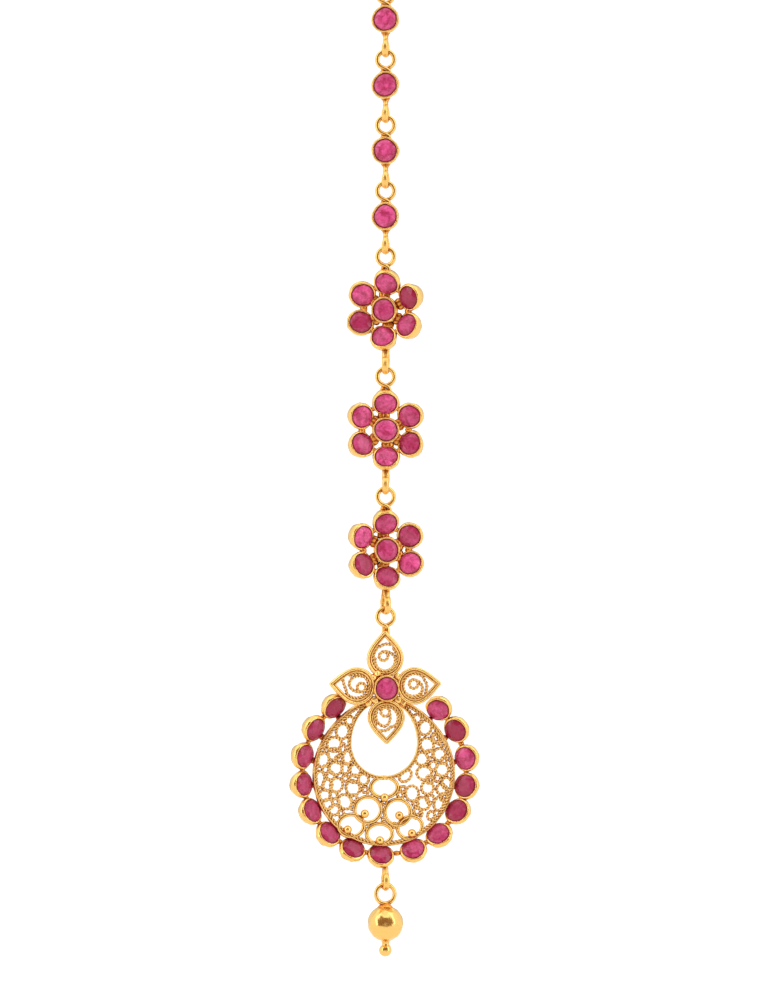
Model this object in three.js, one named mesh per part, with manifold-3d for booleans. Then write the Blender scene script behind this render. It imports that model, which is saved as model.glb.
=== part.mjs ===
// A maang tikka, the gold ornament that hangs from a hook in the hair parting.
// A chain of four single-stone links and three seven-stone flowers carries a filigree pendant:
// a four-petal flower over a pierced crescent disc, a border of fifteen rubies and a ball drop.
// Millimetres, +Z up. The front faces -Y, and the origin is inside the crown of the hair hook.

import * as THREE from 'three';
import { mergeVertices } from 'three/addons/utils/BufferGeometryUtils.js';
import Module from 'manifold-3d';

// Wire rings that hang one piece from the next: an eye on top, a loop below
const ringWire = 0.56;
const ringRadius = 1.15; // to the middle of the wire
const hangingGap = 0.1; // between two wires that hang in each other
const loopTurn = 80; // degrees from the plane of the eye
const solderRadius = 0.34;
const solderBite = 0.25; // how far a solder joint reaches into what it joins

// Hair hook
const hookWire = 0.7;
const hookWidth = 5.2; // clear inside the bend
const hookLength = 12.76; // from the seat to the middle of the loop's lowest wire
const hookLegLength = 8.2; // from the seat to the tip
const hookShankLength = 6.2; // from the seat to where the shank bends in
const hookLoopRadius = 1.3; // to the middle of the wire

// Rubies, by diameter, and the shape they share
const linkStone = 3.1;
const flowerStone = 3.0;
const borderStone = 3.1;
const crownHeight = 0.45;
const pavilionDepth = 0.5;
const stoneTable = 0.62; // the flat table's share of the diameter
const stoneFoot = 0.72; // the flat underside's share of the diameter

// Gold cups that hold the rubies
const stoneClearance = 0.08;
const cupWall = 0.3; // at the lip
const cupDepth = 1.5;
const cupTaper = 0.3; // how much smaller the radius is at the back
const borderTaper = 0.5;
const cupFloor = 0.7; // how far the floor lies behind the lip

// Single-stone links
const linkCount = 4;
const linkTurn = -6; // degrees about the hanging line, positive to face the viewer's right
const linkEyeNeck = 0.14;
const linkLoopNeck = 0.43;

// Seven-stone flowers, each turned a little on its chain
const flowerTurns = [-15, 3, 12]; // degrees, from the top flower down
const flowerLoopTurns = [100, 85, 95]; // degrees from the plane of each flower's eye
const flowerPetals = 6;
const petalOverlap = 0.16; // how far the petals' cups stand inside six touching round a seventh
const petalTilt = 25; // degrees, petals face inwards like a shallow dish
const petalFront = 0.55; // how far the petal lips stand before the hanging plane
const centreFront = 0.9; // how far the middle cup's lip stands before it, proud of the petals
const collarReach = 0.6; // the solder collar round the middle cup, beyond its lip
const collarWire = 0.45; // thickness of the collar and of the ring behind the petals
const collarBack = 0.35; // how far the collar lies behind the hanging plane
const flowerEyeNeck = 0.54;
const flowerLoopNeck = 0.68;

// Pendant as a whole
const pendantTurn = 10; // degrees about the hanging line
const pendantEyeNeck = 0.56;
const flowerRise = 2.04; // from the disc's top up to the middle of the four-petal flower

// Four-petal filigree flower
const quatrefoilPetals = 4;
const quatrefoilTip = 7.75; // from the centre to a petal's tip
const quatrefoilBase = 1.45; // from the centre to a petal's inner end
const quatrefoilHalfWidth = 2.5;
const quatrefoilWidest = 0.4; // where a petal is widest, as a share of its length from the base
const tipSpread = 0.44; // how full the outline runs beside the tip, as a share of the half width
const tipFall = 0.3; // how far it falls there, as a share of the length above the widest place
const sideRise = 0.36; // how long the sides run straight up, as a share of the same length
const baseSpread = 0.55; // how full it runs at the base, as a share of the half width
const sideFall = 0.55; // how long the sides run straight down, as a share of the length below
const quatrefoilTilt = 6; // degrees, tips forward
const quatrefoilFrame = 0.75; // width of the petal's frame of two wires
const quatrefoilTipFrame = 1.05; // the same at the tip, where the two sides meet
const quatrefoilDepth = 0.9;
const quatrefoilMiddle = 0.15; // how far the petals' middle lies behind the hanging plane
const quatrefoilCupFront = 0.75;
const curlWire = 0.36;
const curlDepth = 0.45;
const curlTurns = 1.6;
const curlShrink = 0.72; // how much smaller the curl's radius gets from its start to its end
const bowReach = 0.8; // half length of the wire across a petal, as a share of its inner half width

// Pierced disc, with a round hole that leaves a crescent of filigree
const discRadius = 9.75;
const discFront = 0.3; // how far the disc's front lies behind the hanging plane
const rimWidth = 0.75;
const rimStripWidth = 0.35; // the plain strip outside the rim's twisted wire
const rimStripDepth = 1.45;
const rimWireDepth = 0.65;
const holeShare = 0.4574; // the hole's radius, as a share of the disc's
const holeRimWidth = 0.62;
const hornWidth = 0.97; // metal left between the hole and the edge at the top
const filigreeWire = 0.38;
const filigreeDepth = 0.5;
const filigreeInset = 0.12; // how far the small rings lie behind the rim's front
const scrollWire = 0.5;
const scrollDepth = 0.65;
const granule = 1.18; // diameter of the bead in each scroll

// Border of rubies round the disc
const borderClearance = 0.03; // between a stone's edge and the disc's
const borderGap = 0.026; // between two lips, along the border
const borderSpan = 284; // degrees of the disc that the border may cover
const borderTilt = 35; // degrees, stones face inwards
const borderFront = 0.4; // how far the border's lips lie behind the hanging plane

// Ball drop
const dropLoopNeck = 0.33;
const dropLoopBack = 0.3; // how far the loop under the border lies behind the hanging plane
const dropEyeRadius = 1.3;
const dropBall = 4.86;
const dropBead = 1.7;
const dropNeck = 0.36;
const dropNeckRadius = 0.6;
const dropBeadStart = 55; // degrees below the bead's middle where its flat foot ends
const dropBallEnd = 70; // degrees above the ball's middle where its flat top starts

// Facets
const cupSides = 10;
const ringSides = 10;
const wireSides = 5;
const smallSides = 8;
const scrollSides = 12;
const rimSides = 28;
const holeSides = 18;
const ballSides = 12;
const ballSteps = 7; // from the ball's foot to its top
const beadSteps = 3;
const hookSteps = 18; // along the hook's wire
const granuleSides = 8;
const solderSides = 6;

// Small rings of the filigree. turn: degrees about the hole's centre from straight down, positive
// to the viewer's right. across: share of the way from the hole's rim to the disc's rim. wide and
// tall: outer size as shares of the disc's radius. lean: degrees that the top leans right.
const smallRings = [
  { turn: -123, across: 0.57, wide: 0.15, tall: 0.15, lean: 0 },
  { turn: -106, across: 0.47, wide: 0.21, tall: 0.24, lean: 10 },
  { turn: -89, across: 0.56, wide: 0.24, tall: 0.24, lean: 0 },
  { turn: -78, across: 0.50, wide: 0.19, tall: 0.20, lean: 0 },
  { turn: -75, across: 0.81, wide: 0.19, tall: 0.23, lean: 15 },
  { turn: -69, across: 0.11, wide: 0.16, tall: 0.22, lean: 5 },
  { turn: -63, across: 0.46, wide: 0.21, tall: 0.21, lean: 0 },
  { turn: -61, across: 0.89, wide: 0.17, tall: 0.27, lean: 5 },
  { turn: -54, across: 0.74, wide: 0.16, tall: 0.19, lean: 0 },
  { turn: -49, across: 0.56, wide: 0.20, tall: 0.23, lean: 18 },
  { turn: -49, across: 0.87, wide: 0.19, tall: 0.18, lean: 0 },
  { turn: -47, across: 0.09, wide: 0.17, tall: 0.20, lean: -15 },
  { turn: -43, across: 0.89, wide: 0.17, tall: 0.17, lean: 0 },
  { turn: -37, across: 0.85, wide: 0.18, tall: 0.17, lean: -30 },
  { turn: -35, across: 0.34, wide: 0.23, tall: 0.25, lean: -15 },
  { turn: -34, across: 0.61, wide: 0.21, tall: 0.24, lean: -35 },
  { turn: -30, across: 0.11, wide: 0.17, tall: 0.18, lean: -20 },
  { turn: 25, across: 0.70, wide: 0.17, tall: 0.17, lean: 0 },
  { turn: 29, across: 0.38, wide: 0.21, tall: 0.24, lean: -5 },
  { turn: 33, across: 0.07, wide: 0.17, tall: 0.22, lean: 45 },
  { turn: 33, across: 0.64, wide: 0.21, tall: 0.20, lean: 30 },
  { turn: 42, across: 0.87, wide: 0.16, tall: 0.23, lean: 15 },
  { turn: 44, across: 0.52, wide: 0.20, tall: 0.21, lean: 0 },
  { turn: 51, across: 0.80, wide: 0.17, tall: 0.18, lean: -30 },
  { turn: 53, across: 0.32, wide: 0.25, tall: 0.23, lean: 10 },
  { turn: 57, across: 0.87, wide: 0.16, tall: 0.20, lean: -10 },
  { turn: 65, across: 0.71, wide: 0.21, tall: 0.21, lean: 0 },
  { turn: 67, across: 0.15, wide: 0.21, tall: 0.21, lean: 0 },
  { turn: 78, across: 0.66, wide: 0.20, tall: 0.20, lean: 0 },
  { turn: 87, across: 0.29, wide: 0.21, tall: 0.23, lean: -30 },
  { turn: 95, across: 0.79, wide: 0.14, tall: 0.20, lean: -25 },
  { turn: 110, across: 0.54, wide: 0.20, tall: 0.23, lean: 15 },
  { turn: 126, across: 0.57, wide: 0.15, tall: 0.15, lean: 0 },
];

// Scrolls of plain wire, each with a granule. The first columns are as for the small rings.
// seat: degrees from straight down to the granule, positive to the right, about the scroll's
// centre. reach: how far out the granule sits, as a share of the way to the scroll's wire.
const scrolls = [
  { turn: 0, across: 0.14, wide: 0.39, tall: 0.30, lean: 0, seat: 0, reach: 1.0 },
  { turn: -14, across: 0.52, wide: 0.39, tall: 0.38, lean: 0, seat: -40, reach: 0.4 },
  { turn: 11, across: 0.55, wide: 0.38, tall: 0.38, lean: 0, seat: 20, reach: 0.25 },
  { turn: -22, across: 0.86, wide: 0.38, tall: 0.33, lean: 0, seat: -45, reach: 0.5 },
  { turn: 17, across: 0.84, wide: 0.37, tall: 0.32, lean: -20, seat: 15, reach: 0.55 },
  { turn: -3, across: 0.85, wide: 0.38, tall: 0.30, lean: 0, seat: 0, reach: 0.65 },
];

const wasm = await Module();
wasm.setup();

const gold = new THREE.MeshStandardMaterial({ color: 0xeab54e, roughness: 0.22, metalness: 1 });
const ruby = new THREE.MeshStandardMaterial({ color: 0xb83a68, roughness: 0.15, metalness: 0 });

const radians = THREE.MathUtils.degToRad;
const weldDistance = 1e-4;

// Closed geometry as a solid that can be joined and cut
function solidOf(geometry) {
  const bare = geometry.clone();
  bare.deleteAttribute('normal');
  bare.deleteAttribute('uv');
  const welded = mergeVertices(bare, weldDistance);
  const corners = welded.index.array;
  const faces = [];
  for (let i = 0; i < corners.length; i += 3) {
    const [a, b, c] = corners.slice(i, i + 3);
    if (a !== b && b !== c && c !== a) {
      faces.push(a, b, c);
    }
  }
  const mesh = new wasm.Mesh({
    numProp: 3,
    vertProperties: new Float32Array(welded.attributes.position.array),
    triVerts: new Uint32Array(faces),
  });
  return new wasm.Manifold(mesh);
}

function joined(geometries) {
  return geometries.map(solidOf).reduce((whole, piece) => whole.add(piece));
}

// Solid back to geometry, with its flat faces merged
function geometryOf(solid) {
  const mesh = solid.asOriginal().simplify(weldDistance).getMesh();
  const geometry = new THREE.BufferGeometry();
  geometry.setAttribute('position', new THREE.BufferAttribute(mesh.vertProperties, 3));
  geometry.setIndex(new THREE.BufferAttribute(mesh.triVerts, 1));
  geometry.computeVertexNormals();
  return geometry;
}

function part(name, geometry, material) {
  const mesh = new THREE.Mesh(geometry, material);
  mesh.name = name;
  return mesh;
}

function profile(rows) {
  return rows.map(([radius, along]) => new THREE.Vector2(radius, along));
}

// Wire rings, each with a corner at its top and bottom. An eye lies in the plane that the front
// shows, a loop stands across it.
function uprightRing(radius, wire) {
  const ring = new THREE.TorusGeometry(radius, wire / 2, wireSides, ringSides);
  return ring.rotateZ(Math.PI / 2).rotateX(Math.PI / 2);
}

function eyeAt(height, back = 0, radius = ringRadius) {
  return uprightRing(radius, ringWire).translate(0, back, height);
}

function loopAt(height, back = 0, turn = loopTurn) {
  return uprightRing(ringRadius, ringWire).rotateZ(radians(turn)).translate(0, back, height);
}

function solderAt(low, high, back = 0, radius = solderRadius) {
  const length = high - low + 2 * solderBite;
  const joint = new THREE.CylinderGeometry(radius, radius, length, solderSides);
  return joint.rotateX(Math.PI / 2).translate(0, back, (low + high) / 2);
}

const ringOuter = ringRadius + ringWire / 2;
const wireSpacing = ringWire + hangingGap;

// A ruby and its cup share one frame: the middle of the cup's lip, with the front facing -Y
function cupOuter(stone) {
  return stone / 2 + stoneClearance + cupWall;
}

function cupGeometry(stone, taper = cupTaper) {
  const mouth = stone / 2 + stoneClearance;
  const rows = [
    [0, cupFloor],
    [mouth - stoneClearance, cupFloor],
    [mouth, 0],
    [cupOuter(stone), 0],
    [cupOuter(stone) - taper, cupDepth],
    [0, cupDepth],
  ];
  return new THREE.LatheGeometry(profile(rows), cupSides);
}

function stoneGeometry(stone) {
  const girdle = stone / 2;
  const rows = [
    [0, -crownHeight],
    [girdle * stoneTable, -crownHeight],
    [girdle, 0],
    [girdle * stoneFoot, pavilionDepth],
    [0, pavilionDepth],
  ];
  return new THREE.LatheGeometry(profile(rows), cupSides);
}

// Place of a cup that is turned round a piece's centre and tilted to face it
function seat(turn, radius, back, tilt) {
  const place = new THREE.Matrix4().makeRotationY(radians(turn));
  place.multiply(new THREE.Matrix4().makeTranslation(0, back, radius));
  return place.multiply(new THREE.Matrix4().makeRotationX(radians(tilt)));
}

function stonePart(name, stone, place) {
  const mesh = part(name, stoneGeometry(stone), ruby);
  mesh.applyMatrix4(place);
  return mesh;
}

// Flat work in the plane that the front shows, from one depth to another
function flat(shape, front, depth, curveSegments = 4) {
  const settings = { depth, bevelEnabled: false, curveSegments };
  return new THREE.ExtrudeGeometry(shape, settings).rotateX(Math.PI / 2).translate(0, front + depth, 0);
}

function ellipsePoints(wide, tall, sides) {
  const points = [];
  for (let i = 0; i < sides; i += 1) {
    const angle = (2 * Math.PI * i) / sides;
    points.push(new THREE.Vector2((wide / 2) * Math.cos(angle), (tall / 2) * Math.sin(angle)));
  }
  return points;
}

function ovalRing(wide, tall, wire, sides) {
  const shape = new THREE.Shape(ellipsePoints(wide, tall, sides));
  shape.holes.push(new THREE.Path(ellipsePoints(wide - 2 * wire, tall - 2 * wire, sides)));
  return shape;
}

// Hair hook, a wire bent over at the crown, whose shank ends in a closed loop
function hairHook() {
  const bend = (hookWidth + hookWire) / 2;
  const crown = hookWire / 2 - bend;
  const loopCentre = hookLoopRadius - hookLength;
  const loopTop = loopCentre + hookLoopRadius;
  const bendSteps = 6;
  const points = [new THREE.Vector3(0, bend, -hookLegLength)];
  for (let i = 0; i <= bendSteps; i += 1) {
    const angle = (Math.PI * i) / bendSteps;
    points.push(new THREE.Vector3(0, bend * Math.cos(angle), crown + bend * Math.sin(angle)));
  }
  points.push(new THREE.Vector3(0, -bend, -hookShankLength));
  points.push(new THREE.Vector3(0, -bend / 2, (loopTop - hookShankLength) / 2));
  points.push(new THREE.Vector3(0, 0, loopTop));
  const section = new THREE.Shape(ellipsePoints(hookWire, hookWire, wireSides + 1));
  const path = new THREE.CatmullRomCurve3(points);
  const sweep = { steps: hookSteps, extrudePath: path, bevelEnabled: false };
  const shank = new THREE.ExtrudeGeometry(section, sweep);
  const loop = uprightRing(hookLoopRadius, hookWire);
  loop.rotateZ(Math.PI / 2).translate(0, 0, loopCentre);
  return part('hair_hook', geometryOf(joined([shank, loop])), gold);
}

// Single-stone link, with its eye's centre at the group's origin
const linkEyeRise = cupOuter(linkStone) + linkEyeNeck + ringOuter;
const linkLoopDrop = cupOuter(linkStone) + linkLoopNeck + ringOuter;

function chainLink(number) {
  const group = new THREE.Group();
  group.rotation.z = radians(linkTurn);
  const centre = -linkEyeRise;
  const edge = cupOuter(linkStone);
  const cupBack = -cupDepth / 2;
  const metal = joined([
    cupGeometry(linkStone).translate(0, cupBack, centre),
    eyeAt(0),
    solderAt(centre + edge, centre + edge + linkEyeNeck),
    loopAt(centre - linkLoopDrop),
    solderAt(centre - edge - linkLoopNeck, centre - edge),
  ]);
  group.add(part(`chain_link_${number}`, geometryOf(metal), gold));
  const place = new THREE.Matrix4().makeTranslation(0, cupBack, centre);
  group.add(stonePart(`link_stone_${number}`, linkStone, place));
  group.userData.nextWire = centre - linkLoopDrop - ringRadius;
  return group;
}

// Seven-stone flower, with its eye's centre at the group's origin
const petalRadius = 2 * cupOuter(flowerStone) - petalOverlap; // to the middle of a petal stone
const petalEdge = petalRadius + cupOuter(flowerStone) * Math.cos(radians(petalTilt));
const flowerEyeRise = petalEdge + flowerEyeNeck + ringOuter;
const flowerLoopDrop = petalEdge + flowerLoopNeck + ringOuter;

function flower(number) {
  const group = new THREE.Group();
  group.rotation.z = radians(flowerTurns[number - 1]);
  const body = new THREE.Group();
  body.position.z = -flowerEyeRise;
  group.add(body);
  const loopAngle = flowerLoopTurns[number - 1];

  const seats = [seat(0, 0, -centreFront, 0)];
  for (let i = 0; i < flowerPetals; i += 1) {
    seats.push(seat((360 * i) / flowerPetals, petalRadius, -petalFront, petalTilt));
  }
  const cups = seats.map((place) => cupGeometry(flowerStone).applyMatrix4(place));
  const collarOuter = 2 * (cupOuter(flowerStone) + collarReach);
  const collar = new THREE.Shape(ellipsePoints(collarOuter, collarOuter, flowerPetals));
  const halfStep = Math.PI / flowerPetals;
  const ringOut = 2 * petalRadius * Math.cos(halfStep) + collarWire;
  const backRing = ovalRing(ringOut, ringOut, collarWire, 2 * flowerPetals);
  const metal = joined([
    ...cups,
    flat(collar, collarBack, collarWire).rotateY(halfStep),
    flat(backRing, collarBack + collarWire / 4, collarWire),
    eyeAt(flowerEyeRise),
    solderAt(petalEdge, petalEdge + flowerEyeNeck),
    loopAt(-flowerLoopDrop, 0, loopAngle),
    solderAt(-petalEdge - flowerLoopNeck, -petalEdge),
  ]);
  body.add(part(`flower_setting_${number}`, geometryOf(metal), gold));
  seats.forEach((place, i) => {
    body.add(stonePart(`flower_${number}_stone_${i}`, flowerStone, place));
  });
  group.userData.nextWire = -flowerEyeRise - flowerLoopDrop - ringRadius;
  return group;
}

// Four-petal flower of the pendant
function petalOutline(path, base, tip, halfWidth) {
  const widest = base + (tip - base) * quatrefoilWidest;
  const high = widest + sideRise * (tip - widest);
  const low = widest - sideFall * (widest - base);
  const shoulder = tip - tipFall * (tip - widest);
  const tipSide = tipSpread * halfWidth;
  const baseSide = baseSpread * halfWidth;
  path.moveTo(0, tip);
  path.bezierCurveTo(-tipSide, shoulder, -halfWidth, high, -halfWidth, widest);
  path.bezierCurveTo(-halfWidth, low, -baseSide, base, 0, base);
  path.bezierCurveTo(baseSide, base, halfWidth, low, halfWidth, widest);
  path.bezierCurveTo(halfWidth, high, tipSide, shoulder, 0, tip);
  return path;
}

// Flat ribbon of wire along a row of points
function ribbon(points, wire) {
  const edge = (side) => points.map((point, i) => {
    const before = points[Math.max(i - 1, 0)];
    const after = points[Math.min(i + 1, points.length - 1)];
    const along = after.clone().sub(before).normalize();
    return new THREE.Vector2(point.x - along.y * side, point.y + along.x * side);
  });
  return new THREE.Shape([...edge(-wire / 2), ...edge(wire / 2).reverse()]);
}

function petalGeometries(turn) {
  const innerBase = quatrefoilBase + quatrefoilFrame;
  const innerTip = quatrefoilTip - quatrefoilTipFrame;
  const innerHalf = quatrefoilHalfWidth - quatrefoilFrame;
  const frame = petalOutline(new THREE.Shape(), quatrefoilBase, quatrefoilTip, quatrefoilHalfWidth);
  frame.holes.push(petalOutline(new THREE.Path(), innerBase, innerTip, innerHalf));

  // The curl starts on the frame and winds in to a small eye
  const curlOuter = innerHalf + quatrefoilFrame / 4;
  const curlCentre = innerBase - quatrefoilFrame / 4 + curlOuter;
  const curlSteps = 13;
  const curl = [];
  for (let i = 0; i <= curlSteps; i += 1) {
    const angle = (2 * Math.PI * curlTurns * i) / curlSteps;
    const radius = curlOuter * (1 - curlShrink * (i / curlSteps));
    curl.push(new THREE.Vector2(-radius * Math.cos(angle), curlCentre + radius * Math.sin(angle)));
  }

  // A bowed wire crosses below the tip
  const bowHeight = curlCentre + curlOuter + curlWire / 2;
  const bow = [-1, -0.5, 0, 0.5, 1].map((across) => new THREE.Vector2(
    across * innerHalf * bowReach, bowHeight - (curlWire / 2) * across * across));

  const front = quatrefoilMiddle - quatrefoilDepth / 2;
  const curlFront = quatrefoilMiddle - curlDepth / 2;
  const pieces = [
    flat(frame, front, quatrefoilDepth),
    flat(ribbon(curl, curlWire), curlFront, curlDepth),
    flat(ribbon(bow, curlWire), curlFront, curlDepth),
  ];
  return pieces.map((piece) => piece.rotateX(radians(quatrefoilTilt)).rotateY(radians(turn)));
}

// Filigree of the crescent
const holeRadius = discRadius * holeShare;
const holeRise = discRadius - hornWidth - holeRadius;

function filigreePlace({ turn, across }) {
  const angle = radians(turn);
  const from = holeRadius + holeRimWidth / 2;
  const rim = discRadius - rimWidth / 2;
  const side = holeRise * Math.sin(angle);
  const to = holeRise * Math.cos(angle) + Math.sqrt(rim * rim - side * side);
  const reach = from + (to - from) * across;
  return new THREE.Vector2(reach * Math.sin(angle), holeRise - reach * Math.cos(angle));
}

function smallRing(row) {
  const place = filigreePlace(row);
  const size = discRadius / Math.cos(Math.PI / smallSides); // its flats reach the ring's own size
  const shape = ovalRing(row.wide * size, row.tall * size, filigreeWire, smallSides);
  return flat(shape, discFront + filigreeInset, filigreeDepth)
    .rotateY(radians(row.lean)).translate(place.x, 0, place.y);
}

function scrollGeometries(row) {
  const place = filigreePlace(row);
  const wide = row.wide * discRadius;
  const tall = row.tall * discRadius;
  const ring = flat(ovalRing(wide, tall, scrollWire, scrollSides), discFront, scrollDepth)
    .rotateY(radians(row.lean));
  const angle = radians(row.seat);
  const toWire = Math.min(wide, tall) / 2 - scrollWire / 2;
  const beadReach = toWire * row.reach;
  const middle = discFront + scrollDepth / 2;
  const bead = new THREE.SphereGeometry(granule / 2, granuleSides, granuleSides / 2)
    .translate(beadReach * Math.sin(angle), 0, -beadReach * Math.cos(angle));
  const stubLength = toWire - beadReach + scrollWire;
  const stub = new THREE.CylinderGeometry(scrollWire / 2, scrollWire / 2, stubLength, solderSides)
    .rotateX(Math.PI / 2).translate(0, 0, -(toWire + beadReach) / 2).rotateY(-angle);
  const pieces = [ring, bead.translate(0, middle, 0), stub.translate(0, middle, 0)];
  return pieces.map((piece) => piece.translate(place.x, 0, place.y));
}

function discMetal() {
  const front = discFront;
  const stripInner = discRadius - rimStripWidth;
  const rimRows = [
    [discRadius, front],
    [discRadius, front + rimStripDepth],
    [stripInner, front + rimStripDepth],
    [stripInner, front + rimWireDepth],
    [discRadius - rimWidth, front + rimWireDepth],
    [discRadius - rimWidth, front],
    [discRadius, front],
  ];
  const rim = new THREE.LatheGeometry(profile(rimRows), rimSides);
  const holeOuter = holeRadius + holeRimWidth;
  const holeRim = flat(ovalRing(2 * holeOuter, 2 * holeOuter, holeRimWidth, holeSides),
    front, rimWireDepth).translate(0, 0, holeRise);
  const tall = 4 * scrollDepth;
  const blank = new THREE.Shape(ellipsePoints(2 * discRadius, 2 * discRadius, rimSides));
  const hole = new THREE.Shape(ellipsePoints(2 * holeRadius, 2 * holeRadius, holeSides));
  const field = joined([...smallRings.map(smallRing), ...scrolls.flatMap(scrollGeometries)])
    .intersect(solidOf(flat(blank, front - tall / 2, tall)))
    .subtract(solidOf(flat(hole, front - tall, 2 * tall).translate(0, 0, holeRise)));
  return field.add(joined([rim, holeRim]));
}

// Pendant, with its eye's centre at the group's origin
const pendantEyeRise = quatrefoilTip + pendantEyeNeck + ringOuter;
const discDrop = discRadius + flowerRise;
const borderRadius = discRadius + (borderStone / 2) * Math.cos(radians(borderTilt)) + borderClearance;

function pendant() {
  const group = new THREE.Group();
  group.rotation.z = radians(pendantTurn);
  const disc = new THREE.Group();
  disc.position.z = -pendantEyeRise - discDrop;
  group.add(disc);

  const borderPitch = THREE.MathUtils.radToDeg((2 * cupOuter(borderStone) + borderGap) / borderRadius);
  const eachSide = Math.floor(borderSpan / 2 / borderPitch);
  const borderSeats = [];
  for (let i = -eachSide; i <= eachSide; i += 1) {
    const turn = 180 + i * borderPitch;
    borderSeats.push(seat(turn, borderRadius, borderFront, borderTilt));
  }
  const borderCups = borderSeats.map((place) => cupGeometry(borderStone, borderTaper).applyMatrix4(place));

  const centreSeat = new THREE.Matrix4().makeTranslation(0, -quatrefoilCupFront, discDrop);
  const petals = [];
  for (let i = 0; i < quatrefoilPetals; i += 1) {
    petals.push(...petalGeometries((360 * i) / quatrefoilPetals));
  }
  const eyeHeight = discDrop + pendantEyeRise;
  const tipHeight = discDrop + quatrefoilTip;
  const borderEdge = borderRadius + cupOuter(borderStone) * Math.cos(radians(borderTilt));
  const loopHeight = -borderEdge - dropLoopNeck - ringOuter;
  const metal = discMetal().add(joined([
    ...borderCups,
    cupGeometry(flowerStone).applyMatrix4(centreSeat),
    ...petals.map((piece) => piece.translate(0, 0, discDrop)),
    eyeAt(eyeHeight),
    solderAt(tipHeight, tipHeight + pendantEyeNeck, -solderRadius / 2),
    loopAt(loopHeight, dropLoopBack),
    solderAt(-borderEdge - dropLoopNeck, -borderEdge, dropLoopBack),
  ]));
  disc.add(part('pendant_frame', geometryOf(metal), gold));
  disc.add(stonePart('pendant_stone', flowerStone, centreSeat));
  borderSeats.forEach((place, i) => {
    const name = `border_stone_${String(i + 1).padStart(2, '0')}`;
    disc.add(stonePart(name, borderStone, place));
  });
  disc.add(ballDrop(loopHeight - ringRadius + wireSpacing - dropEyeRadius));
  return group;
}

// Ball drop: an eye, a polished ball and a small bead in one piece
function beadRows(radius, centre, from, to, steps) {
  const rows = [];
  for (let i = 0; i <= steps; i += 1) {
    const angle = radians(from + ((to - from) * i) / steps);
    rows.push([radius * Math.cos(angle), centre + radius * Math.sin(angle)]);
  }
  return rows;
}

function ballDrop(eyeHeight) {
  const eyeBottom = eyeHeight - dropEyeRadius - ringWire / 2;
  const ball = eyeBottom - dropBall / 2;
  const bead = ball - dropBall / 2 - dropNeck - dropBead / 2;
  const neckAngle = THREE.MathUtils.radToDeg(Math.acos((2 * dropNeckRadius) / dropBead));
  const ballAngle = THREE.MathUtils.radToDeg(Math.acos((2 * dropNeckRadius) / dropBall));
  const rows = [
    [0, bead - dropBead / 2],
    ...beadRows(dropBead / 2, bead, -dropBeadStart, neckAngle, beadSteps),
    ...beadRows(dropBall / 2, ball, -ballAngle, dropBallEnd, ballSteps),
    [0, ball + dropBall / 2],
  ];
  const drop = new THREE.LatheGeometry(profile(rows), ballSides).rotateX(Math.PI / 2);
  const metal = joined([
    drop.translate(0, dropLoopBack, 0),
    eyeAt(eyeHeight, dropLoopBack, dropEyeRadius),
    solderAt(eyeBottom, eyeBottom, dropLoopBack),
  ]);
  return part('ball_drop', geometryOf(metal), gold);
}

// Everything hangs in one line under the hook
const ornament = new THREE.Group();
ornament.add(hairHook());
let eyeHeight = -hookLength + (hookWire + ringWire) / 2 + hangingGap - ringRadius;

function hang(piece) {
  piece.position.z = eyeHeight;
  ornament.add(piece);
  eyeHeight += (piece.userData.nextWire ?? 0) + wireSpacing - ringRadius;
}

for (let number = 1; number <= linkCount; number += 1) {
  hang(chainLink(number));
}
for (let number = 1; number <= flowerTurns.length; number += 1) {
  hang(flower(number));
}
hang(pendant());

export default ornament;
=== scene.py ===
# A maang tikka of 22 carat gold and rubies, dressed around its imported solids.
# It hangs as worn, from a hook in the hair: a chain of four single-stone links and three
# seven-stone flowers, and a filigree pendant with a ruby border and a ball drop.

import random
from math import cos, exp, pi, radians, sin, sqrt

import bmesh
import bpy
from mathutils import Matrix, Vector, noise


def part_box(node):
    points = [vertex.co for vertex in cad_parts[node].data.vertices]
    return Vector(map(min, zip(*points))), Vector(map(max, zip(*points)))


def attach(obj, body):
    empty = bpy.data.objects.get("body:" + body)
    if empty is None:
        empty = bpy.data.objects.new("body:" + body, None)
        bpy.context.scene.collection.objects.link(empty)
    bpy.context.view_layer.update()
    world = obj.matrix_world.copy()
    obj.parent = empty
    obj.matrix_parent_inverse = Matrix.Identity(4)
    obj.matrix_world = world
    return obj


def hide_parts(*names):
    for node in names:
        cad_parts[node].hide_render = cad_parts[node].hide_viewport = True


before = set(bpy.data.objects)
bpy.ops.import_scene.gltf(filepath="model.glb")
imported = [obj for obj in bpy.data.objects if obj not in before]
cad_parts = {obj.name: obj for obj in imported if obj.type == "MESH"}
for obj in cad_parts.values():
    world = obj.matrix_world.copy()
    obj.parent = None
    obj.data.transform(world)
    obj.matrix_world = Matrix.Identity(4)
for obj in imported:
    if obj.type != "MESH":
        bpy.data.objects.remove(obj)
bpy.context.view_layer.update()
mm = 0.001


# Camera and studio
# A level camera looks straight at the front from far off. The ornament hangs in a white tent that
# is open towards the camera, over a plain pale floor that lies below the picture.
view_centre = Vector((-0.1 * mm, 0, -82.0 * mm))
view_height = 136 * mm
view_lens = 200
film_height = 36
floor_height = -300 * mm
floor_size = 2.4
floor_colour = "#F4F2EE"
tent_bright = 1.15
tent_lamps = 2.6
room_tone = "#E8B890"
room_light = 0.14

# place: share of the way round from behind the ornament to the camera
tent_walls = [
    # place, light
    (0.0, 0.12),
    (0.12, 0.3),
    (0.4, 0.42),
    (0.61, 0.42),
    (0.65, 1.0),
    (0.72, 1.0),
    (0.75, 0.0),
]
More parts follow.
